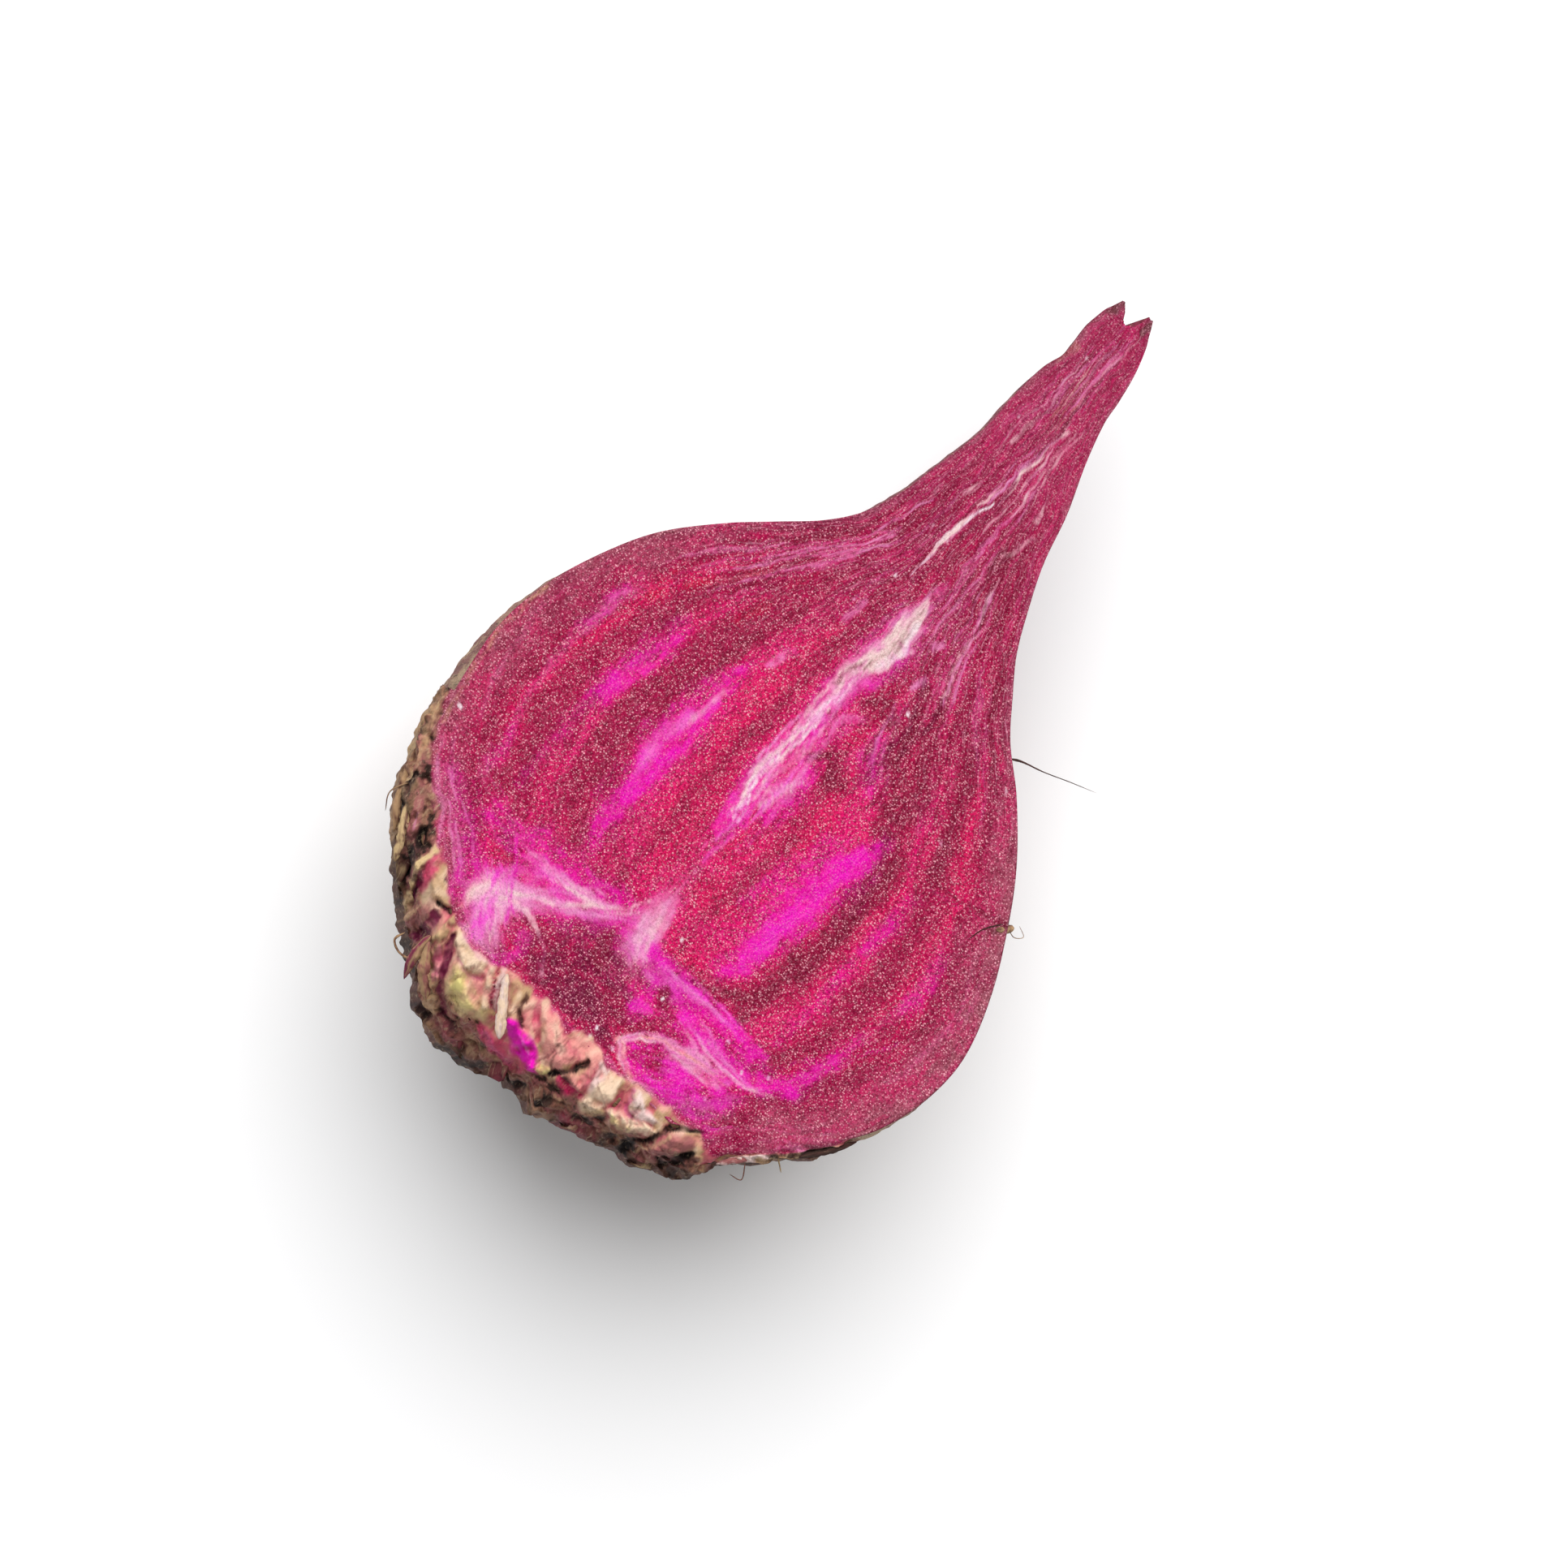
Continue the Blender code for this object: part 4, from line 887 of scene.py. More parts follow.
def skinMaterial():
    material, tree, shader = newMaterial("beet_skin")
    look = skinFinish
    where = node(tree, "ShaderNodeTexCoord").outputs["Object"]
    ways = attribute(tree, "fleshWay", "Vector")
    patches = noiseNode(tree, stretched(tree, ways, (0.30, 0.11, 1.0)), 1.0, 9.0, 0.68)
    lines = noiseNode(tree, stretched(tree, ways, (2.4, 0.16, 1.0)), 1.0, 7.0, 0.70)
    flakes = noiseNode(tree, where, 1 / (look["flakeSize"] * mm), 8.0, 0.72)
    cracks = noiseNode(tree, stretched(tree, ways, (1.3, 0.22, 1.0)), 1.0, 7.0, 0.72)
    crumbs = noiseNode(tree, where, 1 / (look["crumbSize"] * mm), 5.0, 0.7)
    colour = attribute(tree, "surfaceColour", "Color")
    for share, tone, kind in (
        (between(tree, patches, 0.47, 0.55, look["washShare"]), "wash", "MIX"),
        (between(tree, lines, 0.54, 0.68, 0.60), "ridge", "MIX"),
        (between(tree, flakes, 0.56, 0.66, 0.45), "ridge", "MIX"),
        (between(tree, cracks, 0.44, 0.34, 0.85), "crack", "MULTIPLY"),
        (between(tree, crumbs, 0.50, 0.70, 0.55), "crumb", "MULTIPLY"),
    ):
        colour = washed(tree, colour, share, look[tone], kind)
    shader.inputs["Roughness"].default_value = look["roughness"]
    height = plus(tree, times(tree, lines, 0.8), times(tree, cracks, 1.2))
    finished(tree, shader, colour, plus(tree, height, times(tree, flakes, 0.9)), look)
    return material


def makePiece(name, points, faces, materials, slots, colour, way, floats):
    where = toRow(points)
    where[:, 2] = np.maximum(where[:, 2], 0.0)
    mesh = bpy.data.meshes.new(name)
    mesh.from_pydata([tuple(p) for p in where], [], [tuple(int(v) for v in f) for f in faces])
    for material in materials:
        mesh.materials.append(material)
    mesh.polygons.foreach_set("material_index", np.asarray(slots, np.int32))
    layer = mesh.attributes.new("surfaceColour", "FLOAT_COLOR", "POINT")
    rgba = np.c_[toLinear(colour), np.ones(len(where))]
    layer.data.foreach_set("color", rgba.astype(np.float32).ravel())
    layer = mesh.attributes.new("fleshWay", "FLOAT_VECTOR", "POINT")
    layer.data.foreach_set("vector", np.asarray(way, np.float32).ravel())
    for key, values in floats.items():
        layer = mesh.attributes.new(key, "FLOAT", "POINT")
        layer.data.foreach_set("value", np.asarray(values, np.float32))
    made = bpy.data.objects.new(name, mesh)
    bpy.context.scene.collection.objects.link(made)
    shell = bmesh.new()
    shell.from_mesh(mesh)
    bmesh.ops.recalc_face_normals(shell, faces=shell.faces)
    shell.to_mesh(mesh)
    shell.free()
    mesh.shade_smooth()
    return made


def buildRoot():
    points, faces, slots, skinStart = rootMesh()
    colour = np.zeros((len(points), 3))
    pale = np.zeros(len(points))
    way = np.zeros((len(points), 3))
    grainAndSparkle = np.zeros(len(points))
    streaky = np.zeros(len(points))
    x, y = points[:skinStart, 0], points[:skinStart, 1]
    colour[:skinStart], pale[:skinStart], along, out = fleshColour(x, y)
    way[:skinStart] = flat(along, out * flesh["reach"])
    # fewer granules, with their painted sparkle, on pale tissue and in the neck
    glow = np.maximum(pale[:skinStart], smooth(colour[:skinStart, 2], 0.44, 0.62))
    inNeck = blend(1.0, flesh["grainSparkleInNeck"], smooth(x, 24, 50))
    grainAndSparkle[:skinStart] = blend(1.0, flesh["grainSparkleOnPale"], smooth(glow, 0.3, 1.0)) * inNeck
    streaky[:skinStart] = blend(*flesh["streaks"], smooth(x, 10, 34))
    colour[skinStart:] = skinColour(points[skinStart:])
    skin = points[skinStart:]
    way[skinStart:] = np.stack([skin[:, 0], np.arctan2(skin[:, 2] + 8, skin[:, 1]) * 30, 0 * skin[:, 0]], 1)
    piece = makePiece("beet_root", points, faces, [fleshMaterial(), skinMaterial()], slots, colour, way,
                      {"grainAndSparkle": grainAndSparkle, "streaky": streaky})
    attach(piece, "root")
    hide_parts("root_half")
    print("root built:", len(faces), "faces")


buildRoot()


# The crown: a rough cap, the leaf-stalk bases on it in their spiral, and the torn tissue at the cut

crown = {
    "middle": (-20.0, -1.0),  # seen from above the cut, where its outline is measured from
    "capEdge": -20.0,  # how far the cap reaches down the shoulder
    "capSteps": (130, 50),  # around the skin and along the cut
    "capThickness": 1.1,  # beyond the root's own skin
    "capDome": ((1.0, 0.4), (0.93, 1.5), (0.78, 2.5), (0.5, 3.3), (0.2, 3.7)),  # share out, height
    "capRough": 0.9,
    "crust": (  # across, how far the crust stands out there
        (-24.0, 0.2), (-21.5, 0.9), (-18.0, 2.4), (-13.0, 3.6), (-8.5, 4.4), (-4.0, 5.2), (0.0, 5.8),
        (4.0, 6.8), (7.5, 7.4), (9.5, 7.2), (12.0, 5.8), (15.0, 3.8), (18.0, 1.4), (21.0, 0.2),
    ),
    "bevel": 0.22,  # how steeply the crust falls away from the cut
    "count": 38,  # leaf bases round the whole crown
    "standBelow": -8.5,  # only those that stand lower than this are built
    "turn": math.radians(137.5),  # from one leaf to the next
    "firstTurn": math.radians(20),
    "turnSway": (-0.12, 0.12),
    "length": (3.8, 4.8),  # from the middle of the crown to its edge, as are the next two
    "width": (3.6, 10.0),
    "thickness": (1.8, 2.6),
    "lengthSpread": (0.75, 1.2),
    "widthSpread": (0.85, 1.1),
    "lean": (math.radians(4), math.radians(50)),
    "narrowing": 0.22,
    "rooted": 1.6,  # how deep each foot is sunk in the cap
    "tallSide": math.radians(-55),  # the side where the leaf bases were left longest
    "tallExtra": 1.3,
    "scaleCount": 23,  # dry scales round the whole shoulder
    "scalesBelow": -4.5,  # only those that stand lower than this are built
    "scalePlace": (-24.5, -21.5),
    "scaleLength": (4.5, 7.0),
    "scaleWidth": (8.0, 11.0),
    "scaleThickness": 2.0,
    "scaleLean": math.radians(-20),
    "scaleNarrowing": 0.60,
    "scaleCurl": 0.10,
    "steps": (18, 14),  # across and up each base
    "foldSpread": 1.2,  # widens and raises every fold of the crown's face
    "foldHeight": 1.3,
    "faceSteps": (430, 56),  # along the outline and across the crown's face
    "ragged": 0.16,  # how much the torn tops go up and down
    "curl": 0.35,  # how far each base bends in over the crown
    "lid": (0.02, 1.1),  # how far under the cut the rest stays, and how much further at the crown
    "seed": 7,
}
tones.update({
    "skinBrown": srgb(138, 108, 80),
    "darkBrown": srgb(62, 42, 36),
    "black": srgb(34, 24, 24),
    "greyBrown": srgb(150, 98, 82),
    "straw": srgb(226, 194, 144),
    "paleYellow": srgb(246, 230, 146),
    "pinkRed": srgb(208, 66, 106),
    "purple": srgb(128, 30, 74),
    "mauveBrown": srgb(170, 100, 100),
})

# The crown's face as the view over the cut shows it: where it starts and where its outline is (along and
# across for each), how deep it falls, the share that stays level, and the shares of flesh and fresh tissue
crownFace = (
    (-11.4, 31.9, -11.4, 33.8, 3.0, 0.85, 0.0, 0.0),
    (-15.1, 30.4, -16.0, 32.9, 4.0, 0.80, 0.0, 0.0),
    (-18.0, 28.5, -19.5, 31.8, 5.0, 0.65, 0.0, 0.0),
    (-20.1, 26.5, -23.0, 30.3, 6.0, 0.5, 0.0, 0.0),
    (-22.2, 24.2, -26.5, 28.2, 7.0, 0.4, 0.0, 0.0),
    (-24.4, 22.4, -30.3, 24.7, 8.0, 0.3, 0.0, 0.10),
    (-25.2, 20.0, -33.7, 20.4, 9.0, 0.15, 0.0, 0.55),
    (-27.2, 17.4, -35.2, 18.2, 9.5, 0.12, 0.0, 0.60),
    (-28.6, 15.2, -37.6, 15.0, 10.0, 0.12, 0.0, 0.60),
    (-28.9, 12.8, -41.0, 11.4, 12.0, 0.12, 0.0, 0.58),
    (-28.9, 9.0, -42.2, 8.4, 12.0, 0.12, 0.0, 0.56),
    (-29.0, 6.0, -41.6, 6.6, 12.0, 0.12, 0.0, 0.55),
    (-29.1, 3.0, -41.8, 3.2, 12.0, 0.12, 0.0, 0.66),
    (-29.1, 0.0, -40.6, 0.4, 12.0, 0.12, 0.0, 0.66),
    (-29.1, -5.0, -40.0, -5.0, 11.0, 0.12, 0.0, 0.50),
    (-29.0, -10.0, -38.7, -10.0, 11.0, 0.12, 0.0, 0.60),
    (-28.9, -14.0, -37.3, -14.6, 10.0, 0.12, 0.0, 0.60),
    (-28.6, -17.5, -36.6, -18.0, 9.5, 0.12, 0.0, 0.60),
    (-27.8, -19.8, -35.2, -20.6, 8.5, 0.15, 0.12, 0.50),
    (-26.8, -21.2, -34.6, -22.4, 7.5, 0.2, 0.40, 0.50),
    (-26.0, -22.4, -32.6, -23.6, 6.0, 0.3, 0.72, 0.75),
    (-25.4, -23.4, -29.6, -24.6, 4.5, 0.5, 0.75, 0.80),
    (-24.4, -24.8, -28.0, -26.5, 3.5, 0.5, 0.72, 0.74),
    (-22.6, -27.0, -25.4, -28.7, 3.0, 0.5, 0.70, 0.72),
    (-20.4, -29.4, -22.6, -31.2, 3.0, 0.5, 0.70, 0.72),
    (-18.0, -31.4, -19.6, -33.2, 3.0, 0.4, 0.68, 0.70),
    (-15.0, -33.4, -15.8, -34.7, 3.0, 0.3, 0.60, 0.62),
    (-12.6, -34.7, -12.8, -35.7, 3.0, 0.2, 0.50, 0.52),
)

# Its folds: tone, strength, softness, fray, how far it stands out, then points (along, across, half-width)
# The black strokes, set lower, are painted shade in the hollows and cracks between the folds
folds = (
    ("tan", 0.85, 1.4, 0.9, 0.1, (-28, 27.0, 0.8), (-23.5, 30.6, 1.0), (-18, 33.0, 0.9),
     (-12, 34.2, 0.9)),
    ("straw", 0.60, 1.2, 1.0, 0.1, (-25, 30.6, 0.5), (-20, 32.6, 0.6), (-13, 34.2, 0.5)),
    ("skinBrown", 0.90, 1.0, 0.8, 0.8, (-29.8, 24.9, 0.4), (-27.4, 26, 0.6), (-25, 27.2, 0.6),
     (-22, 28.6, 0.5)),
    # painted highlight: thin straw along the lit edge of the brown lump
    ("straw", 0.80, 0.8, 0.9, 0.3, (-29.4, 25.3, 0.2), (-27, 26.7, 0.25), (-24, 28.5, 0.3),
     (-21, 30.2, 0.25)),
    # painted shade in a hollow
    ("black", 0.85, 0.9, 0.8, -0.7, (-26.2, 27.6, 0.3), (-23.8, 28.5, 0.4), (-20.8, 29.3, 0.35)),
    # painted shade: the black hollow under the brown lump
    ("black", 0.95, 1.0, 0.8, -1.0, (-31, 23.4, 0.5), (-28.6, 23.6, 0.7), (-26.2, 24, 0.6),
     (-24.8, 24.6, 0.4)),
    ("mauveBrown", 0.85, 1.0, 0.8, 0.6, (-26.4, 25.3, 0.5), (-24.6, 25.9, 0.6), (-22.8, 26.9, 0.5)),
    ("palePink", 0.40, 0.9, 0.9, 0.1, (-25.6, 25.2, 0.2), (-24, 26.1, 0.2)),
    ("tan", 0.60, 1.0, 0.9, 0.2, (-20, 30.4, 0.4), (-17, 31.4, 0.5), (-14, 32.6, 0.3)),
    ("pinkRed", 0.80, 1.1, 0.8, 0.1, (-24.9, 20.8, 0.6), (-27, 21.3, 0.7), (-29.6, 20.8, 0.6)),
    # painted shade: a purple line under the raised rim
    ("purple", 0.70, 1.0, 0.8, -0.4, (-28.6, 21.7, 0.3), (-31.4, 20.6, 0.4)),
    ("straw", 0.90, 0.9, 0.7, 0.9, (-33.5, 20.1, 0.35), (-31.4, 21.6, 0.4), (-28, 22.5, 0.4),
     (-24.8, 22, 0.3)),
    ("tan", 0.90, 1.0, 0.8, 0.9, (-27.8, 20.2, 0.5), (-28.8, 18.6, 0.7), (-28.2, 16.8, 0.6)),
    ("warmCream", 0.45, 0.9, 0.9, 0.1, (-28.6, 19, 0.3), (-28.4, 17.4, 0.3)),
    ("mauveBrown", 0.90, 1.0, 0.8, 0.8, (-34.2, 18.7, 0.5), (-33, 18.8, 1.0), (-31.4, 18.4, 0.9)),
    # painted highlight: thin straw along the lit edge of the lump
    ("straw", 0.60, 0.8, 0.9, 0.3, (-34.0, 19.4, 0.25), (-32.8, 19.5, 0.3), (-31.4, 19.2, 0.25)),
    # painted shade: a purple line beneath the lump
    ("purple", 0.85, 0.9, 0.8, -0.6, (-34.6, 17.3, 0.35), (-32.6, 17.1, 0.4), (-30.6, 17.2, 0.35)),
    # painted shade in a hollow
    ("black", 0.80, 0.8, 0.7, -0.6, (-29.6, 17.8, 0.25), (-29.4, 16.6, 0.25)),
    ("darkBrown", 0.70, 0.8, 0.8, -0.5, (-27.3, 19.2, 0.2), (-27.1, 18, 0.2)),
    ("tan", 0.90, 1.0, 0.8, 1.0, (-29.6, 15.4, 0.5), (-32.5, 15.5, 0.8), (-35, 14.9, 0.9),
     (-37.2, 13, 0.9),
     (-39.4, 10.6, 0.6)),
    # painted highlight: straw along the crescent scale's lit edge
    ("straw", 0.60, 0.9, 0.8, 0.2, (-31, 15.9, 0.25), (-34, 15.8, 0.3), (-37, 13.9, 0.3)),
    ("rosePink", 0.55, 0.9, 0.9, 0.0, (-33.2, 14.6, 0.3), (-36, 12.9, 0.35)),
    # painted shade: a purple line beneath the crescent scale
    ("purple", 0.90, 0.9, 0.8, -0.8, (-31.6, 14.1, 0.3), (-34.2, 13.1, 0.4), (-36.6, 11.5, 0.4),
     (-38.8, 9.6, 0.4)),
    ("warmCream", 0.95, 1.1, 0.7, 0.9, (-31.0, 13.2, 0.9), (-31.8, 11.4, 1.3), (-31.2, 9.6, 1.0)),
    ("palePink", 0.50, 1.2, 0.9, 0.0, (-30.4, 13, 0.5), (-30.8, 11, 0.6), (-30.5, 9.4, 0.5)),
    ("straw", 0.90, 1.1, 0.8, 0.9, (-34, 11.2, 0.8), (-35.4, 9.8, 1.4), (-36.2, 8.0, 1.1),
     (-35.4, 6.2, 0.8)),
    ("paleYellow", 0.90, 1.1, 0.8, 0.2, (-34.4, 10.9, 0.6), (-35.9, 9.3, 0.9), (-36.1, 8, 0.6)),
    ("rosePink", 0.55, 0.9, 0.8, -0.5, (-33.0, 12.4, 0.2), (-33.4, 10.4, 0.25), (-33.0, 8.8, 0.2)),
    ("warmCream", 0.85, 0.9, 0.6, 0.6, (-30.3, 8.9, 0.3), (-32.4, 7.9, 0.4), (-34.6, 6.6, 0.4)),
    ("cream", 0.80, 0.9, 0.6, 0.5, (-30.3, 7.7, 0.25), (-32, 6.9, 0.3), (-33.8, 5.9, 0.25)),
    ("pinkRed", 0.60, 0.9, 0.8, -0.5, (-30.3, 8.3, 0.14), (-32.2, 7.4, 0.18), (-34, 6.4, 0.18)),
    ("paleYellow", 0.60, 0.8, 0.8, 0.1, (-35.2, 6.1, 0.3), (-34.4, 5.7, 0.3)),
    ("tan", 0.85, 1.1, 0.8, 0.7, (-30.6, 5.2, 0.8), (-32.2, 4.2, 1.1), (-33.6, 3.4, 0.6)),
    ("warmCream", 0.55, 0.9, 0.8, 0.3, (-30.8, 4.7, 0.3), (-33, 3.9, 0.3)),
    ("brown", 0.75, 0.8, 0.8, -0.6, (-30.4, 4.2, 0.15), (-32.4, 3.1, 0.2), (-33.4, 2.4, 0.2)),
    ("tan", 0.60, 1.0, 0.9, 0.1, (-38.9, 5.8, 0.5), (-39.0, 3.2, 0.4), (-38.6, 0.8, 0.4)),
    ("pinkRed", 0.85, 1.0, 0.8, 0.8, (-37.0, 5.2, 0.6), (-37.8, 3, 1.0), (-37.2, 0.4, 1.0),
     (-36.4, -1.8, 0.6)),
    ("rosePink", 0.60, 0.9, 0.9, 0.1, (-37.2, 4.8, 0.4), (-38.0, 2.6, 0.35), (-37.8, 0.6, 0.3)),
    ("magenta", 1.00, 0.8, 0.4, 0.9, (-34.2, 2.8, 0.7), (-35.2, 0.6, 1.3), (-36.2, -1.6, 0.6)),
    ("palePink", 0.45, 0.8, 0.8, 0.2, (-34.4, 1.6, 0.12), (-35.4, -0.4, 0.14)),
    ("pinkRed", 0.65, 1.0, 0.9, -0.4, (-30.3, 2.4, 0.35), (-31.8, 1.4, 0.4), (-33.4, 0.0, 0.4)),
    ("salmon", 0.95, 1.1, 0.8, 0.9, (-30.6, 0.4, 0.8), (-32, -1.2, 1.2), (-33, -3, 1.2),
     (-31.8, -4.2, 0.8)),
    ("warmCream", 0.55, 1.0, 0.9, 0.2, (-30.8, -0.4, 0.4), (-32.6, -2.6, 0.5)),
    ("paleYellow", 0.90, 0.8, 0.7, 0.5, (-35.9, -2.5, 0.4), (-35, -3.2, 0.35)),
    # painted shade in the crevice between the salmon lumps
    ("black", 0.90, 0.8, 0.7, -0.9, (-35.4, -3.5, 0.25), (-33.4, -4.9, 0.28), (-31.4, -5.9, 0.2)),
    ("salmon", 0.80, 1.2, 0.8, 0.9, (-30.6, -6.8, 0.9), (-32.4, -7.2, 1.3), (-33.8, -6.3, 0.9)),
    ("cream", 0.75, 1.1, 0.8, 0.3, (-30.8, -7.6, 0.6), (-32.8, -8.0, 0.8)),
    ("crimson", 0.65, 1.0, 0.9, -0.3, (-35, -4.8, 0.4), (-35.3, -6.6, 0.6), (-34.8, -8, 0.4)),
    ("warmCream", 0.95, 1.1, 0.8, 0.9, (-35, -8.8, 0.7), (-33.6, -9.5, 1.1), (-31.4, -9.5, 0.7)),
    ("straw", 0.60, 1.0, 0.9, 0.1, (-35.6, -9.4, 0.5), (-34.8, -10.4, 0.5)),
    ("pinkRed", 0.60, 0.9, 0.8, -0.5, (-30.3, -10.9, 0.25), (-32, -10.9, 0.25), (-33.8, -11.1, 0.25)),
    ("warmCream", 0.95, 1.0, 0.8, 0.9, (-33.9, -11.6, 0.6), (-33.3, -13.2, 1.1), (-32.6, -15, 0.8),
     (-32.2, -16.4, 0.3)),
    ("cream", 0.85, 1.0, 0.8, 0.6, (-30.4, -12.2, 0.7), (-31.4, -13.6, 0.8), (-31.0, -15.2, 0.5)),
    ("paleYellow", 0.50, 1.0, 0.8, 0.1, (-34.2, -12, 0.4), (-33.9, -14, 0.5)),
    ("rosePink", 0.60, 0.9, 0.9, -0.3, (-30.3, -11.8, 0.2), (-31.8, -12.4, 0.25), (-32.4, -13.6, 0.2)),
    # painted shade in a hollow
    ("black", 0.90, 1.0, 0.8, -0.9, (-36.6, -15.4, 0.45), (-35, -15.4, 0.5), (-34.0, -15.9, 0.3)),
    # painted shade in a crack
    ("black", 0.95, 0.8, 0.7, -1.0, (-33.6, -16.2, 0.3), (-32.2, -16.9, 0.35), (-30.6, -17.7, 0.35),
     (-29.3, -19, 0.35),
     (-28.4, -20.4, 0.25)),
    ("mauveBrown", 0.90, 1.0, 0.8, 0.9, (-36, -17.0, 0.5), (-34.2, -17.9, 0.9), (-32, -18.9, 0.9),
     (-30.4, -20, 0.6)),
    # painted highlight: thin straw along the lit edge of the lump
    ("straw", 0.50, 0.8, 0.8, 0.1, (-35.6, -16.5, 0.2), (-33.4, -17.4, 0.25), (-31.4, -18.3, 0.2)),
    # painted shade in a hollow
    ("black", 0.90, 1.0, 0.8, -0.9, (-34.4, -19.6, 0.5), (-33, -20.5, 0.6), (-31.2, -20.9, 0.3)),
    ("darkBrown", 0.80, 1.0, 0.8, 0.4, (-34.4, -21.2, 0.6), (-33.2, -22.4, 0.6)),
    ("brown", 0.60, 0.9, 0.9, 0.4, (-34.6, -20.6, 0.3), (-33, -21.5, 0.3), (-31.2, -21.8, 0.3)),
    # painted shade in a pit of the crust
    ("black", 0.85, 0.9, 0.8, -0.5, (-38.6, -4.6, 0.5), (-37.4, -5.4, 0.4)),
    # painted shade in a pit of the crust
    ("black", 0.80, 0.9, 0.8, -0.5, (-41.3, 5.0, 0.3), (-41.0, 3.6, 0.5), (-40.2, 2.6, 0.3)),
    # painted shade in a pit of the crust
    ("black", 0.75, 0.9, 0.8, -0.5, (-39.8, 12.0, 0.4), (-40.4, 10.8, 0.3)),
    # painted shade in a pit of the crust
    ("black", 0.75, 0.9, 0.8, -0.5, (-39.6, -0.6, 0.3), (-39.2, -2.2, 0.35)),
    # painted shade in a pit of the crust
    ("black", 0.80, 0.9, 0.8, -0.5, (-37.2, -9.2, 0.4), (-36.6, -10.8, 0.3)),
    # painted shade in a pit of the crust
    ("black", 0.75, 0.9, 0.8, -0.5, (-36.9, -12.8, 0.4), (-35.9, -13.8, 0.3)),
    ("mauve", 0.60, 1.2, 0.9, 0.3, (-38.2, -7.8, 0.7), (-37.9, -11.4, 0.8)),
    ("mauve", 0.50, 1.2, 0.9, 0.3, (-40.4, 8.6, 0.8), (-40.2, 6.4, 0.7)),
    ("tan", 0.60, 1.0, 0.9, 0.3, (-41.6, 8.2, 0.5), (-41.0, 10.2, 0.5)),
    ("tan", 0.50, 1.0, 0.9, 0.3, (-39.8, -3.4, 0.5), (-39.0, -6.6, 0.4)),
    ("cream", 0.90, 0.9, 0.9, 0.4, (-28.6, -25.2, 0.3), (-27.2, -26.3, 0.4), (-25.4, -27.6, 0.3)),
    ("tan", 0.80, 0.9, 0.9, 0.4, (-26.4, -27.2, 0.3), (-24.2, -28.9, 0.4), (-22.4, -30.5, 0.3)),
    ("darkBrown", 0.90, 0.9, 0.8, -0.3, (-24, -28.6, 0.3), (-22, -30.6, 0.45), (-20, -32.4, 0.4)),
    ("skinBrown", 0.80, 0.9, 0.9, 0.2, (-19.5, -32.9, 0.3), (-16.5, -34.2, 0.25), (-13.6, -35.3, 0.2)),
)
foldBundles = (  # fine fibres that run out through the torn tissue
    (("brown", "mauveBrown", "tan"), 16, 6.5, 0.15, 0.50, (-30.3, 8.5), (-33, 8.8), (-36, 9.2)),
    (("brown", "mauveBrown", "pinkRed"), 18, 7.0, 0.15, 0.50, (-30.3, -4), (-33, -4.6), (-36, -5.6)),
    (("brown", "mauveBrown", "cream"), 10, 3.4, 0.15, 0.50, (-30.3, -13.5), (-33, -14.4), (-35.6, -15.8)),
)

# Loose pieces: base tone, edge tone, then points: along and across as the view shows them, height, radius
tissue = (
    ("warmCream", "cream", (-30.2, 7.2, 0.7, 0.34), (-33.0, 5.3, 0.7, 0.46), (-36.1, 3.0, 0.3, 0.42)),
    ("tan", "purple", (-33.0, 16.2, -2.0, 0.4), (-36.0, 16.1, -3.6, 0.5), (-38.9, 15.3, -6.0, 0.16)),
    ("tan", "mauveBrown", (-33.6, 15.9, -1.4, 0.3), (-36.6, 14.2, -3.4, 0.5), (-39.0, 11.8, -6.0, 0.36)),
    ("straw", "brown", (-29.8, 24.6, -2.4, 0.3), (-27.0, 26.0, -1.2, 0.4), (-23.6, 28.0, -0.8, 0.32)),
    ("tan", "brown", (-27.4, 27.0, -3.4, 0.3), (-23.6, 29.4, -2.6, 0.4), (-18.6, 31.4, -2.2, 0.26)),
    ("mauveBrown", "cream", (-30.0, -23.9, -1.6, 0.20), (-28.2, -25.2, -0.9, 0.32),
     (-26.8, -26.4, -0.9, 0.24)),
    ("darkBrown", "brown", (-23.8, -29.4, -0.9, 0.22), (-20.8, -32.0, -1.0, 0.30),
     (-17.4, -34.0, -1.2, 0.2)),
)
threads = (  # the same, for hair-fine roots
    ("tan", "brown", (-34.8, 18.6, -3.4, 0.16), (-36.2, 18.9, -3.8, 0.14), (-36.9, 17.6, -4.0, 0.13),
     (-36.5, 16.2, -3.8, 0.13), (-35.0, 15.7, -3.2, 0.12)),
    ("brown", "darkBrown", (26.6, -18.4, -0.4, 0.22), (27.4, -19.8, -1.0, 0.13),
     (28.3, -22.4, -2.4, 0.07), (29.6, -25.4, -4.0, 0.05), (30.9, -28.6, -6.0, 0.04)),
    ("tan", "brown", (11.2, -30.0, -0.1, 0.30), (12.0, -30.9, -0.5, 0.42), (12.7, -31.3, -1.0, 0.30)),
    ("darkBrown", "brown", (8.2, -28.4, 0.04, 0.06), (10.2, -28.9, 0.05, 0.06),
     (12.2, -30.2, 0.05, 0.07)),
    ("greyBrown", "straw", (12.2, -31.0, -1.0, 0.06), (11.9, -32.2, -2.0, 0.05),
     (12.7, -33.0, -2.4, 0.04), (13.3, -31.8, -2.2, 0.04)),
    ("greyBrown", "brown", (-27.6, -26.2, -1.0, 0.09), (-29.4, -27.2, -2.2, 0.06),
     (-29.9, -25.8, -2.6, 0.05)),
    ("straw", "brown", (-24.6, -28.4, -1.0, 0.10), (-25.8, -30.0, -2.0, 0.07)),
    ("tan", "brown", (-22.0, 29.2, -1.4, 0.12), (-24.4, 30.2, -2.6, 0.08), (-26.4, 29.2, -3.4, 0.06)),
)


def fromAbove(u, v, z):  # a spot at height z that the view over the cut face shows at u, v
    return np.array([u - leanAlong * z, v + leanAcross * z, z])


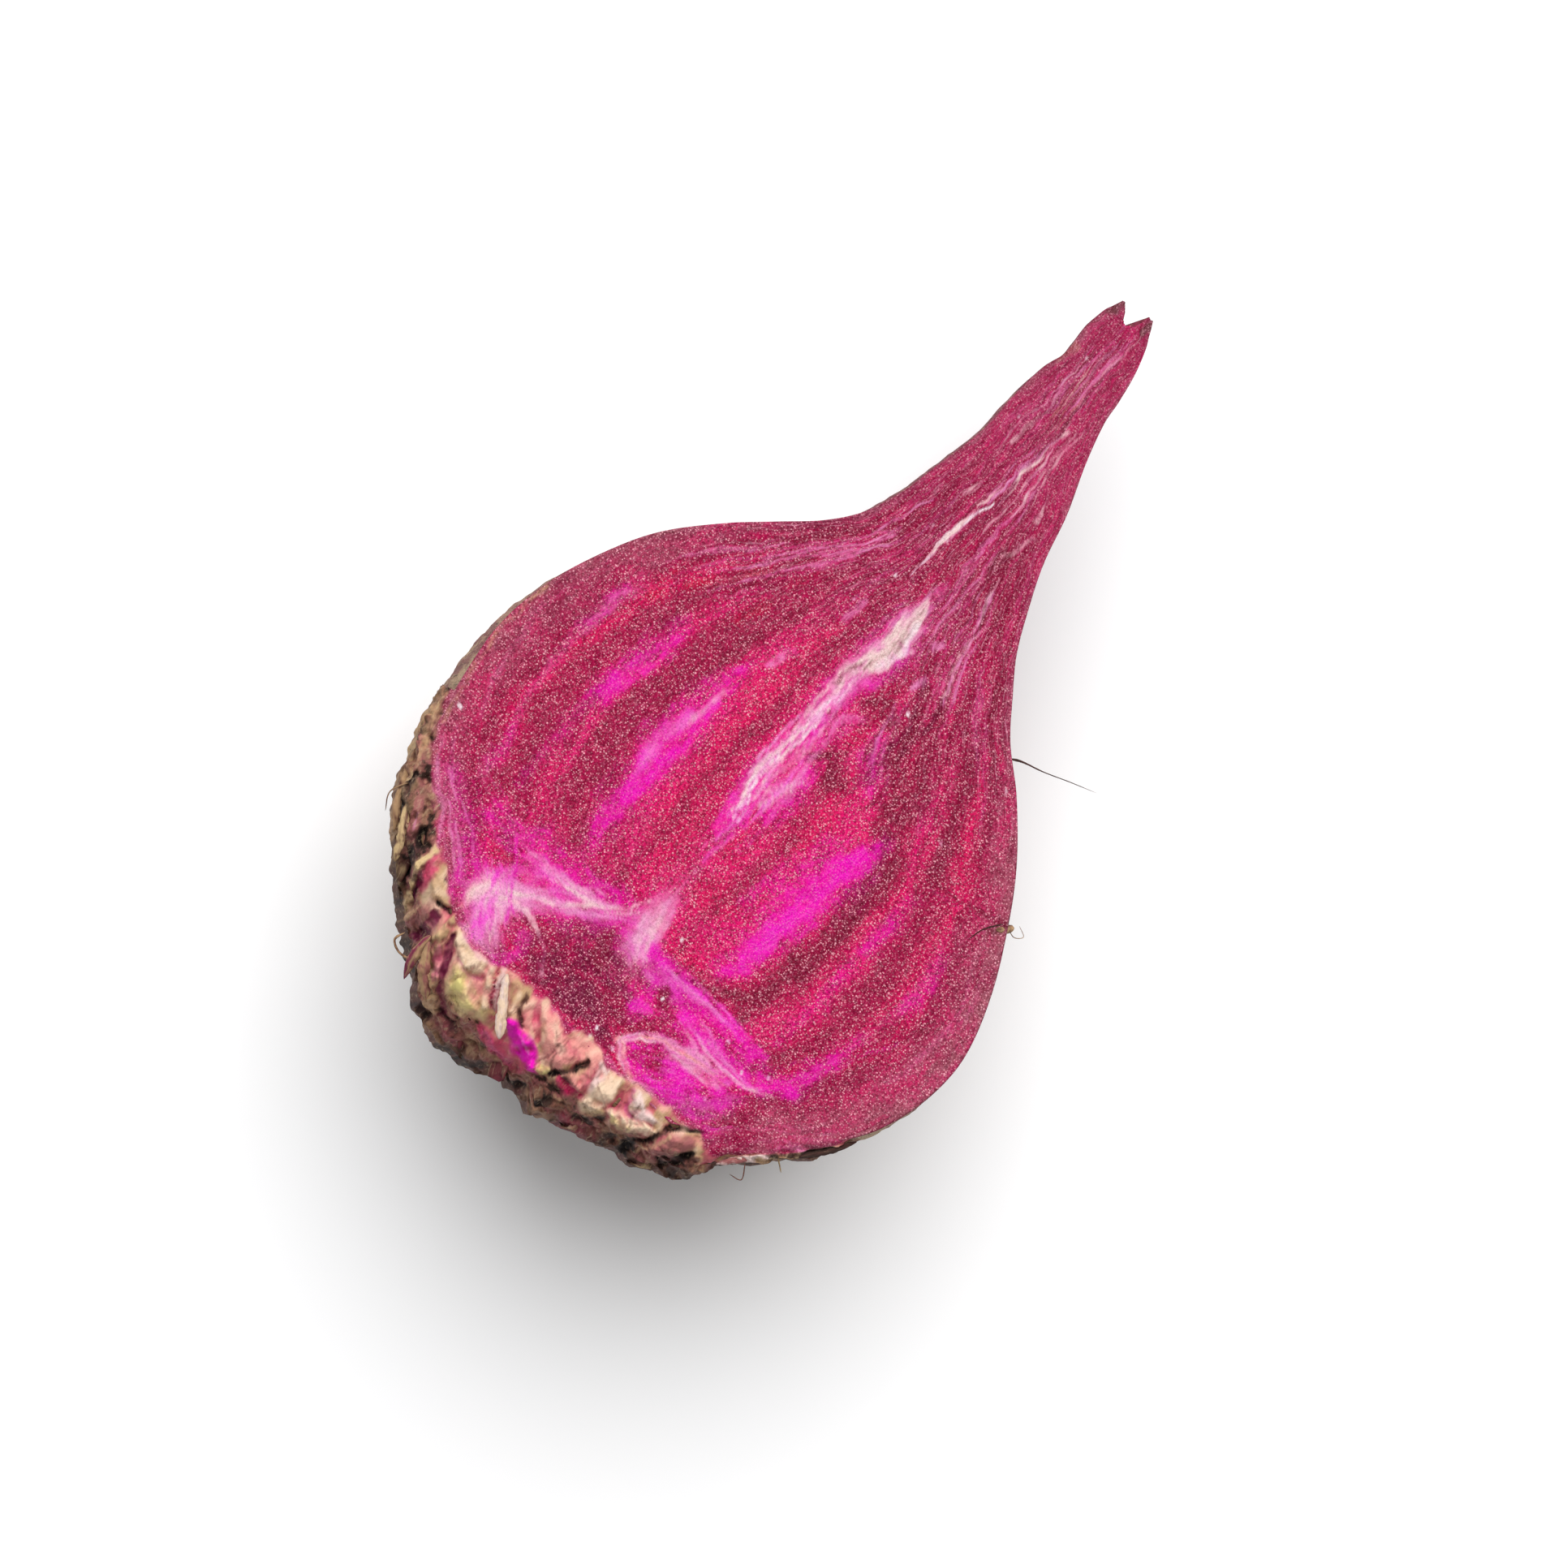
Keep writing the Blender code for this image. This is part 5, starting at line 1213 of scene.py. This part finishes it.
class Growth:  # gathers the parts of one piece's mesh
    def __init__(self):
        self.points, self.faces, self.colours, self.ways = [], [], [], []
        self.slots, self.dry, self.count = [], [], 0

    def add(self, points, faces, colours, ways, slots=None, dry=None):
        self.points.append(points)
        self.faces += [tuple(v + self.count for v in face) for face in faces]
        self.colours.append(colours)
        self.ways.append(ways)
        self.slots += [0] * len(faces) if slots is None else slots
        self.dry.append(np.ones(len(points)) if dry is None else dry)
        self.count += len(points)

    def piece(self, name, materials):
        dry = np.concatenate(self.dry)
        floats = {"dry": dry, "grainAndSparkle": 0 * dry + 0.8, "streaky": 0 * dry + 0.1}
        points, colours, ways = np.vstack(self.points), np.vstack(self.colours), np.vstack(self.ways)
        return makePiece(name, points, self.faces, materials, self.slots, colours, ways, floats)


def tubeFaces(rows, columns):
    faces = []
    for start in range(0, (rows - 1) * columns, columns):
        for j in range(columns):
            after = (j + 1) % columns
            faces.append((start + j, start + after, start + columns + after, start + columns + j))
    for start in (0, (rows - 1) * columns):
        for k in range(columns // 2 - 1):
            faces.append((start + k, start + k + 1, start + columns - 2 - k, start + columns - 1 - k))
    return faces


def seenFromAbove(points):
    return points[:, 0] + leanAlong * points[:, 2], points[:, 1] - leanAcross * points[:, 2]


def heldIn(points, keep=0.12):  # nothing of the crown shows beyond its outline
    outerU, outerV = np.array(crownFace)[:, 2:4].T
    middleU, middleV = crown["middle"]
    angles = np.arctan2(outerV - middleV, middleU - outerU)[::-1]
    radii = np.hypot(outerV - middleV, middleU - outerU)[::-1]
    u, v = seenFromAbove(points)
    back, across = middleU - u, v - middleV
    radius = np.hypot(back, across) + 1e-9
    angle = np.arctan2(across, back)
    limit = np.interp(angle, angles, radii) - 0.3
    beyond = np.clip(radius - limit, 0, None) * ((angle > angles[0]) & (angle < angles[-1]))
    pull = (beyond * (1 - keep) / radius)[:, None]
    return points + pull * np.stack([back, -across, 0 * back], 1)


def leafColour(points, tall, isInner, fresh, seed):
    fine = roughNoise(points * (0.6, 1.6, 1.6), 1.6, seed + 31)
    broad = roughNoise(points, 5.0, seed % 5 + 33)
    dry = tinted(tones["brown"], "skinBrown", smooth(fine + broad, -0.8, 0.3))
    dry = tinted(dry, "straw", smooth(fine, 0.1, 0.8) * 0.75)
    live = tinted(tones["pinkRed"], "salmon", smooth(fine, -0.6, 0.5))
    live = tinted(live, "cream", smooth(fine + 0.4 * isInner, 0.2, 0.9) * 0.7)
    live = tinted(live, "tan", smooth(broad, 0.0, 0.6) * 0.6)
    colour = blend(dry, live, (fresh * (0.55 + 0.45 * isInner))[:, None])
    # Painted shade: the lower part of each base, down among the others at the cap, is darkened nearly to
    # black
    deep = blend(tones["mauveBrown"], tones["black"], 0.35)
    colour = blend(deep, colour, smooth(tall, 0.05, 0.40)[:, None])
    return tinted(colour, "darkBrown", smooth(tall + 0.15 * fine, 0.86, 1.0) * (0.6 - 0.5 * fresh))


def leafBase(growth, foot, angle, lean, size, narrowing, curl, fresh, seed):
    width, length, thick = size
    out = np.array([0, math.cos(angle), math.sin(angle)])
    side = np.array([0, -out[2], out[1]])
    up = np.array([-1.0, 0, 0])
    rise = up * math.cos(lean) + out * math.sin(lean)
    away = up * -math.sin(lean) + out * math.cos(lean)
    arch = width * 0.62
    across, high = crown["steps"]
    s = np.linspace(-1, 1, across + 1)
    h = np.linspace(0, 1, high + 1)
    grid = flat(np.tile(s, high + 1), np.repeat(h, across + 1))
    torn = roughNoise(grid * (1.5, 0.0, 1.0), 1.0, seed, 3)
    reach = (width / 2) * (1 - narrowing * grid[:, 1]) / arch
    turn = grid[:, 0] * reach
    rooted = crown["rooted"]
    along = grid[:, 1] * (length + rooted) * (1 + crown["ragged"] * grid[:, 1] * torn) - rooted
    spot = foot + rise * along[:, None] + side * (arch * np.sin(turn))[:, None]
    spot = spot + away * (arch * (np.cos(turn) - 1) - curl * length * grid[:, 1] ** 2)[:, None]
    normal = side * np.sin(turn)[:, None] + away * np.cos(turn)[:, None]
    half = 0.5 * thick * (1 - 0.6 * grid[:, 0] ** 2) * (1 - 0.45 * grid[:, 1])
    fold = roughNoise(flat(grid[:, 0] * width / 2.0, along / 5.0), 1.0, seed + 5, 4)
    wave = 0.5 * roughNoise(spot, 2.6, seed + 9, 3)
    outer = spot + normal * (half * (1 + 0.55 * fold) + wave * grid[:, 1] * 0.6)[:, None]
    inner = spot - normal * (half * (1 - 0.45 * fold) - wave * grid[:, 1] * 0.6)[:, None]
    shape = (high + 1, across + 1, 3)
    rows = np.concatenate([outer.reshape(shape), inner.reshape(shape)[:, ::-1]], 1)
    points = rows.reshape(-1, 3)
    points = points + 0.10 * np.stack([roughNoise(points, 0.9, seed + k) for k in (21, 22, 23)], 1)
    tall = np.repeat(h, 2 * across + 2)
    isInner = np.tile(np.r_[np.zeros(across + 1), np.ones(across + 1)], high + 1)
    colour = leafColour(points, tall, isInner, fresh, seed)
    ways = flat(tall * length, np.tile(np.r_[s, s[::-1]] * width / 2, high + 1))
    growth.add(heldIn(points), tubeFaces(high + 1, 2 * across + 2), colour, ways)


def strand(growth, base, edge, spots, seed, sides=18, lumpy=0.24, perSpan=12):
    path = np.array([(*fromAbove(u, v, z), r) for u, v, z, r in spots])
    padded = np.vstack([2 * path[0] - path[1], path, 2 * path[-1] - path[-2]])
    fine = []
    for i in range(1, len(padded) - 2):
        for k in range(perSpan):
            t = k / perSpan
            a, b, c, d = padded[i - 1], padded[i], padded[i + 1], padded[i + 2]
            fine.append(0.5 * (2 * b + (c - a) * t + (2 * a - 5 * b + 4 * c - d) * t**2
                               + (3 * b - a - 3 * c + d) * t**3))
    fine = np.array(fine + [path[-1]])
    ends = np.minimum(np.arange(len(fine)), np.arange(len(fine))[::-1]) / (len(fine) - 1) * 2
    tangent = np.gradient(fine[:, :3], axis=0)
    tangent /= np.linalg.norm(tangent, axis=1)[:, None]
    side = np.cross(tangent, (0.0, 0.0, 1.0))
    side /= np.linalg.norm(side, axis=1)[:, None] + 1e-9
    over = np.cross(side, tangent)
    thick = fine[:, 3].max() > 0.25
    radius = fine[:, 3] * (1.22 if thick else 1.0) * np.sqrt(np.clip(ends * 3.2, 0.04, 1.0))
    turn = np.linspace(0, 2 * math.pi, sides, endpoint=False)
    ring = side[:, None] * np.cos(turn)[None, :, None] + over[:, None] * 0.85 * np.sin(turn)[None, :, None]
    points = (fine[:, None, :3] + ring * radius[:, None, None]).reshape(-1, 3)
    size = max(spot[3] for spot in spots)
    swell = roughNoise(points, 1.1 * size + 0.1, seed, 4)
    unrolled = flat(np.repeat(np.arange(len(fine)) * 0.05, sides), np.tile(turn * 2.2, len(fine)))
    groove = roughNoise(unrolled, 1.0, seed + 3, 4)
    lumps = (lumpy * swell + 0.35 * lumpy * groove)[:, None]
    points = points + (ring * radius[:, None, None]).reshape(-1, 3) * lumps
    if size > 0.25:
        points = points + 0.16 * size * np.stack([roughNoise(points, 0.7, seed + k) for k in (5, 6, 7)], 1)
    shade = roughNoise(points, 0.9 * size + 0.2, seed + 13)
    colour = tinted(tones[base], edge, smooth(groove + 0.9 * shade, -0.1, 0.9) * 0.85)
    colour = tinted(colour, "brown", smooth(-groove, 0.45, 0.9) * 0.5)
    # Painted shade: the underside of each thick strand is darkened towards a deep purple
    under = smooth(-ring[:, :, 2].ravel(), 0.1, 0.9)[:, None]
    colour = blend(colour, tones["purple"] * 0.7, under * (0.6 if size > 0.25 else 0.0))
    ways = flat(np.repeat(np.arange(len(fine)) * 0.3, sides), np.tile(turn, len(fine)))
    growth.add(points, tubeFaces(len(fine), sides), colour, ways, None, np.full(len(points), 0.5))


def roundAt(x):
    return (float(value) for value in ringAt(x))


def crownSurface(share, angle):
    middle, height, halfWidth, halfDepth = roundAt(rootFirst)
    places, heights = zip(*sorted(((0.0, crown["capDome"][-1][1]), *crown["capDome"])))
    return np.array([rootFirst - np.interp(share, places, heights),
                     middle + halfWidth * share * math.cos(angle),
                     height + halfDepth * share * math.sin(angle)])


def freshness(spot):
    return float(smooth(spot[2], -16, -3) * smooth(abs(spot[1]), 19, 13))


def capColour(points, ridges):
    fine = roughNoise(points, 1.2, 64)
    spots = roughNoise(points, 2.6, 65)
    colour = tinted(tones["brown"], "skinBrown", smooth(fine + 0.7 * ridges, -0.7, 0.7))
    colour = tinted(colour, "straw", smooth(fine + 0.4 * spots, 0.2, 0.9) * 0.7)
    colour = tinted(colour, "mauveBrown", smooth(spots, 0.2, 0.8) * 0.6)
    colour = tinted(colour, "black", smooth(-fine - 0.7 * ridges, 0.1, 0.7) * 0.75)
    rimStrip = (points[:, 2] > -0.7) & (points[:, 0] > rootFirst)  # fresh flesh at the edge of the cut
    colour[rimStrip] = fleshColour(points[rimStrip, 0], points[rimStrip, 1])[0]
    return colour


def capMesh(growth):
    aroundCount, chordCount = crown["capSteps"]
    stations = [("shoulder", x, 1.0) for x in np.linspace(crown["capEdge"], rootFirst + 0.02, 34)]
    domeShares = np.r_[1.0, np.linspace(0.99, 0.70, 34), np.linspace(0.68, 0.05, 22)]
    stations += [("dome", rootFirst - 0.02, share) for share in domeShares]
    places, heights = zip(*crown["crust"])
    rows, tags = [], []
    for kind, x, share in stations:
        middle, height, halfWidth, halfDepth = roundAt(x)
        grow = crown["capThickness"] * (1 if kind == "dome" else smooth(crown["capEdge"] - x, -0.4, 3.0))
        halfWidth, halfDepth = halfWidth * share + grow, halfDepth * share + grow
        lift = min(1.0, -height / halfDepth)
        first = math.asin(lift)
        angle = first - np.linspace(0, 1, aroundCount) * (math.pi + 2 * first)
        arc = np.stack([np.full(aroundCount, x), middle + halfWidth * np.cos(angle),
                        height + halfDepth * np.sin(angle)], 1)
        if kind == "shoulder":
            arc[:, 2] = np.minimum(arc[:, 2], 0.0)
        chord = arc[-1] + (arc[0] - arc[-1]) * np.linspace(0, 1, chordCount + 2)[1:-1, None]
        if kind == "shoulder":
            left, right = (float(v) for v in edgesAt(x))
            chord[:, 1] = np.clip(chord[:, 1], right + 0.03, left - 0.03)
            chord[:, 2] = -1.6
            chord[0], chord[-1] = (x, right + 0.03, -0.12), (x, left - 0.03, -0.12)
        if kind == "dome":
            here = np.vstack([arc, chord])
            here[:, 2] = np.minimum(here[:, 2], 0.0)
            out = np.interp(here[:, 1], places, heights) - 1.6 - 0.25 * np.clip(-here[:, 2] - 4, 0, None)
            here[:, 0] -= np.maximum(out, 0.5) * float(smooth(1 - share, 0.0, 0.30)) ** 0.6
            arc, chord = here[:aroundCount], here[aroundCount:]
        rows.append(np.vstack([arc, chord]))
        tags.append(np.r_[np.ones(aroundCount), np.zeros(chordCount)])
    points = np.vstack(rows)
    onSkin = np.concatenate(tags) > 0
    away = points - (rootFirst + 8.0, -1.1, -9.5)
    away /= np.linalg.norm(away, axis=1)[:, None]
    ridges = 1 - 2 * np.abs(roughNoise(points, 3.4, 61, 4))
    crumbs = roughNoise(points, 1.0, 62, 3)
    near = smooth(-points[:, 2], -0.2, 1.5)
    rough = crown["capRough"] * (0.7 * ridges + 0.35 * crumbs) * onSkin * (0.25 + 0.75 * near)
    points = points + away * rough[:, None]
    beyond = np.clip(rootFirst - points[:, 0], 0, None)
    below = 0.9 + crown["bevel"] * beyond**1.6 + 0.8 * roughNoise(points, 1.8, 63)
    ceiling = np.minimum(-0.02 - smooth(beyond, 0, 0.6) * below, -0.02)
    points[:, 2] = np.minimum(points[:, 2], np.where(points[:, 0] < rootFirst, ceiling, -0.02))
    columns = aroundCount + chordCount
    growth.add(heldIn(points), tubeFaces(len(stations), columns), capColour(points, ridges), points)


def faceColour(solid, ridges, creases, dryness, shares):  # the torn tissue and, further out, the dry crust
    fine = roughNoise(solid, 0.8, 75)
    spots = roughNoise(solid, 2.2, 76)
    crust = tinted(tones["greyBrown"], "mauveBrown", smooth(spots + 0.4 * fine, -0.5, 0.4))
    crust = tinted(crust, "skinBrown", smooth(ridges + fine, 0.1, 1.0) * 0.5)
    crust = tinted(crust, "straw", smooth(fine - 0.3 * spots, 0.35, 0.9) * 0.45)
    crust = tinted(crust, "darkBrown", smooth(-fine - 0.6 * ridges, 0.15, 0.6) * 0.95)
    bared = tinted(tones["salmon"], "tan", smooth(spots, -0.4, 0.5))
    bared = tinted(bared, "warmCream", smooth(creases, 0.0, 0.7) * 0.6)
    bared = tinted(bared, "pinkRed", smooth(-creases, 0.15, 0.7) * 0.6)
    colour = blend(bared, crust, dryness[:, None])
    return tinted(colour, "darkBrown", smooth(shares, 0.86, 1.0) * 0.55)


def facePatch(growth):
    around, along = crown["faceSteps"]
    table = np.array(crownFace)
    run = np.r_[0, np.cumsum(np.hypot(np.diff(table[:, 2]), np.diff(table[:, 3])))]
    fine = np.linspace(0, run[-1], around)
    innerU, innerV, outerU, outerV, drop, level, fleshTo, freshTo = (
        np.interp(fine, run, table[:, k])[:, None] for k in range(8))
    torn = 0.55 * roughNoise(flat(fine, 0 * fine), 4.0, 71)[:, None]
    drop = drop * (1 + 0.18 * roughNoise(flat(fine, 0 * fine), 7.0, 77, 2)[:, None])
    share = np.tile(np.linspace(0, 1, along) ** 0.9, (around, 1))
    u = innerU + (outerU - innerU) * share
    v = innerV + (outerV - innerV) * share
    width = np.hypot(outerU - innerU, outerV - innerV)
    wide = flat(u.ravel(), v.ravel())
    u = u.ravel() + (torn * (1 - share) ** 2).ravel()
    v = v.ravel() + (torn * (1 - share) ** 2).ravel() * 0.5
    knobs = roughNoise(wide, 2.4, 72)
    u = u + (share ** 6).ravel() * 0.30 * knobs
    fall = np.clip((share - level) / (1 - level), 0, 1) ** 2.2 * drop
    z = (0.07 - 0.25 * np.clip(share * width - 0.9, 0, 1.2) - fall).ravel()
    shares = share.ravel()
    fresh, fleshy = freshTo.repeat(along, 1).ravel(), fleshTo.repeat(along, 1).ravel()
    away = smooth(shares * width.repeat(along, 1).ravel(), 0.6, 1.6)
    warpU = u + 0.30 * roughNoise(wide, 1.8, 66)
    warpV = v + 0.30 * roughNoise(wide, 1.8, 67)
    creases = roughNoise(flat(warpU / 3.6, warpV / 1.1), 1.0, 68, 4)
    solid = np.stack([u, v, 0.8 * z], 1)
    crumbs = roughNoise(solid, 0.9, 73)
    ridges = 1 - 2 * np.abs(roughNoise(solid, 2.8, 74, 4))
    dryness = smooth(shares - fresh + 0.08 * knobs, -0.05, 0.06)
    soft = 1 - smooth(fleshy - shares, -0.02, 0.06)
    freshRelief, dryRelief = 0.35 * creases + 0.08 * crumbs, 0.8 * ridges + 0.3 * crumbs
    z = z + away * soft * ((1 - dryness) * freshRelief + dryness * dryRelief)
    colour = faceColour(solid, ridges, creases, dryness, shares)
    for number, (tone, strength, softness, fray, height, *path) in enumerate(folds):
        path = [(a, b, c * crown["foldSpread"]) for a, b, c in path]
        mask = strokeMask(warpU, warpV, path, softness * 0.8, fray * 0.6, 700 + number)
        colour = tinted(colour, tone, np.clip(strength * 1.1 * mask, 0, 1))
        z = z + crown["foldHeight"] * height * away * strokeMask(warpU, warpV, path, 1.3, 0.2, 700 + number)
    for number, (tone, strength, softness, fray, *path) in enumerate(combed(foldBundles)):
        mask = strength * strokeMask(warpU, warpV, path, softness, fray, 800 + number)
        colour = tinted(colour, tone, mask)
        z = z - 0.15 * away * mask
    inward = blend(1.0, 0.93, smooth(fleshy, 0.05, 0.3))
    onFlesh = fleshColour(u * inward - 1.6 * smooth(fleshy, 0.05, 0.3), v * inward)[0]
    edge = (1 - soft) * smooth(fleshy - shares + 0.10 * creases, 0.0, 0.10)
    apart = shares * width.repeat(along, 1).ravel()
    edge = np.maximum(edge, 1 - smooth(apart + 0.8 * roughNoise(wide, 3.2, 79) + 0.15 * creases, 0.4, 1.2))
    colour = blend(colour, onFlesh, edge[:, None])
    z = np.minimum(z, 0.5 - 0.25 * smooth(np.abs(v), 16, 24))
    dent = smooth(shares, 0.62, 0.8) * 0.55 * (roughNoise(solid, 2.4, 78) + 0.4 * crumbs - 0.1)
    x = u - leanAlong * z
    y = v + leanAcross * z
    middleU, middleV = crown["middle"]
    outward = np.stack([u - middleU, v - middleV], 1)
    outward /= np.linalg.norm(outward, axis=1)[:, None]
    x, y = x + outward[:, 0] * dent, y + outward[:, 1] * dent
    points = np.stack([x, y, z], 1).reshape(around, along, 3)
    colour = colour.reshape(around, along, 3)
    inwards = (points[:, -6] - points[:, -1]) * (0.25, 0.25, 0)
    under = [points[:, -1] + inwards * k - (0, 0, 1.4 * k) for k in (1, 2, 3)]
    points = np.concatenate([points, np.stack(under, 1)], 1)
    colour = np.concatenate([colour, np.repeat(colour[:, -1:], 3, 1)], 1)
    rows = along + 3
    faces = [(i * rows + j, i * rows + j + 1, (i + 1) * rows + j + 1, (i + 1) * rows + j)
             for i in range(around - 1) for j in range(rows - 1)]
    flatPoints = points.reshape(-1, 3)
    moist = np.concatenate([edge.reshape(around, along), np.zeros((around, 3))], 1).ravel()
    dry = blend(0.25, 1.0, dryness).reshape(around, along)
    dry = np.concatenate([dry, np.ones((around, 3))], 1).ravel()
    slots = [1 if moist[face[0]] + moist[face[2]] > 1.0 else 0 for face in faces]
    growth.add(flatPoints, faces, colour.reshape(-1, 3), flatPoints, slots, dry)


def buildCrown():
    chance = random.Random(crown["seed"])
    growth = Growth()
    capMesh(growth)
    for number in range(crown["count"]):
        share = math.sqrt((number + 0.5) / crown["count"])
        angle = crown["firstTurn"] + number * crown["turn"] + chance.uniform(*crown["turnSway"])
        width = blend(*crown["width"], share) * chance.uniform(*crown["widthSpread"])
        length = blend(*crown["length"], share) * chance.uniform(*crown["lengthSpread"])
        length += crown["tallExtra"] * share * max(0.0, math.cos(angle - crown["tallSide"]))
        foot = crownSurface(share, angle)
        if foot[2] < crown["standBelow"]:
            size = (width, length, blend(*crown["thickness"], share))
            leafBase(growth, foot, angle, blend(*crown["lean"], share**2), size, crown["narrowing"],
                     crown["curl"], freshness(foot), 300 + number)
    for number in range(crown["scaleCount"]):
        angle = 2 * math.pi * (number + chance.uniform(-0.3, 0.3)) / crown["scaleCount"]
        x = chance.uniform(*crown["scalePlace"])
        middle, height, halfWidth, halfDepth = roundAt(x)
        reach = 0.8 * crown["capThickness"]
        foot = np.array([x, middle + (halfWidth + reach) * math.cos(angle),
                         height + (halfDepth + reach) * math.sin(angle)])
        width = chance.uniform(*crown["scaleWidth"])
        size = (width, chance.uniform(*crown["scaleLength"]), crown["scaleThickness"])
        if foot[2] < crown["scalesBelow"]:
            leafBase(growth, foot, angle, crown["scaleLean"], size, crown["scaleNarrowing"],
                     crown["scaleCurl"], 0.0, 400 + number)
    facePatch(growth)
    nearLid, farLid = crown["lid"]
    for points in growth.points[:-1]:  # all but the face itself stays under the cut
        lid = -nearLid - farLid * smooth(-points[:, 0], 10, 13)
        points[:, 2] = np.minimum(points[:, 2], lid)
    for number, (base, edge, *spots) in enumerate(tissue):
        strand(growth, base, edge, spots, 500 + number)
    for number, (base, edge, *spots) in enumerate(threads):
        strand(growth, base, edge, spots, 600 + number, 8, 0.12)
    piece = growth.piece("leaf_stalk_bases", [dryMaterial(), bpy.data.materials["cut_flesh"]])
    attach(piece, "root")
    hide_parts("leaf_stalk_stubs")
    print("crown built:", len(growth.faces), "faces")


buildCrown()


# Floor, light and camera

def cameraAxes():
    towards = Vector((-leanAlong, leanAcross, 1)).normalized()
    along = Vector((1, 0, 0))
    along = (along - towards * along.dot(towards)).normalized()
    across = towards.cross(along)
    turn = math.radians(view["turn"])
    right = along * math.cos(turn) - across * math.sin(turn)
    up = along * math.sin(turn) + across * math.cos(turn)
    return right, up, towards


def placeCamera():
    right, up, towards = (beetFrame.to_3x3() @ axis for axis in cameraAxes())
    spot = beetFrame @ (Vector(view["target"]) * mm) + towards * view["distance"] * mm
    camera = bpy.data.objects.new("camera", bpy.data.cameras.new("camera"))
    bpy.context.scene.collection.objects.link(camera)
    turn = Matrix((right, up, towards)).transposed().to_4x4()
    camera.matrix_world = Matrix.Translation(spot) @ turn
    camera.data.sensor_width = view["sensor"]
    camera.data.lens = view["sensor"] * view["distance"] / (view["picture"] * view["scale"])
    bpy.context.scene.camera = camera
    return right, up


studio = {
    "floor": 3.0,  # m
    "floorDrop": 0.0002,
    "floorTone": (0.92, 0.92, 0.925, 1),
    "floorRoughness": 0.9,
    "floorSpecular": 0.1,
    "sun": (0.15, 0.66, 0.80),  # towards the light: the picture's right, its top, and up
    "sunSpread": 62.0,  # degrees
    "sunPower": 3.9,
    "sky": 0.34,
}


def lightStudio(right, up):
    floorMesh = bpy.data.meshes.new("floor")
    half = studio["floor"] / 2
    corners = [(-half, -half, 0), (half, -half, 0), (half, half, 0), (-half, half, 0)]
    floorMesh.from_pydata(corners, [], [(0, 1, 2, 3)])
    floor = bpy.data.objects.new("floor", floorMesh)
    bpy.context.scene.collection.objects.link(floor)
    floor.location.z = -studio["floorDrop"]
    material, tree, shader = newMaterial("white_floor")
    shader.inputs["Base Color"].default_value = studio["floorTone"]
    shader.inputs["Roughness"].default_value = studio["floorRoughness"]
    shader.inputs["Specular IOR Level"].default_value = studio["floorSpecular"]
    floorMesh.materials.append(material)
    flatRight = Vector((right.x, right.y, 0)).normalized()
    flatUp = Vector((up.x, up.y, 0)).normalized()
    along, across, high = studio["sun"]
    towards = flatRight * along + flatUp * across + Vector((0, 0, high))
    sun = bpy.data.objects.new("sun", bpy.data.lights.new("sun", "SUN"))
    sun.data.energy = studio["sunPower"]
    sun.data.angle = math.radians(studio["sunSpread"])
    sun.rotation_euler = towards.to_track_quat("Z", "Y").to_euler()
    bpy.context.scene.collection.objects.link(sun)
    world = bpy.data.worlds.new("sky")
    world.use_nodes = True
    world.node_tree.nodes["Background"].inputs["Color"].default_value = (1, 1, 1, 1)
    world.node_tree.nodes["Background"].inputs["Strength"].default_value = studio["sky"]
    bpy.context.scene.world = world
    bpy.context.scene.view_settings.view_transform = "Standard"


lightStudio(*placeCamera())
print("camera and lights placed")
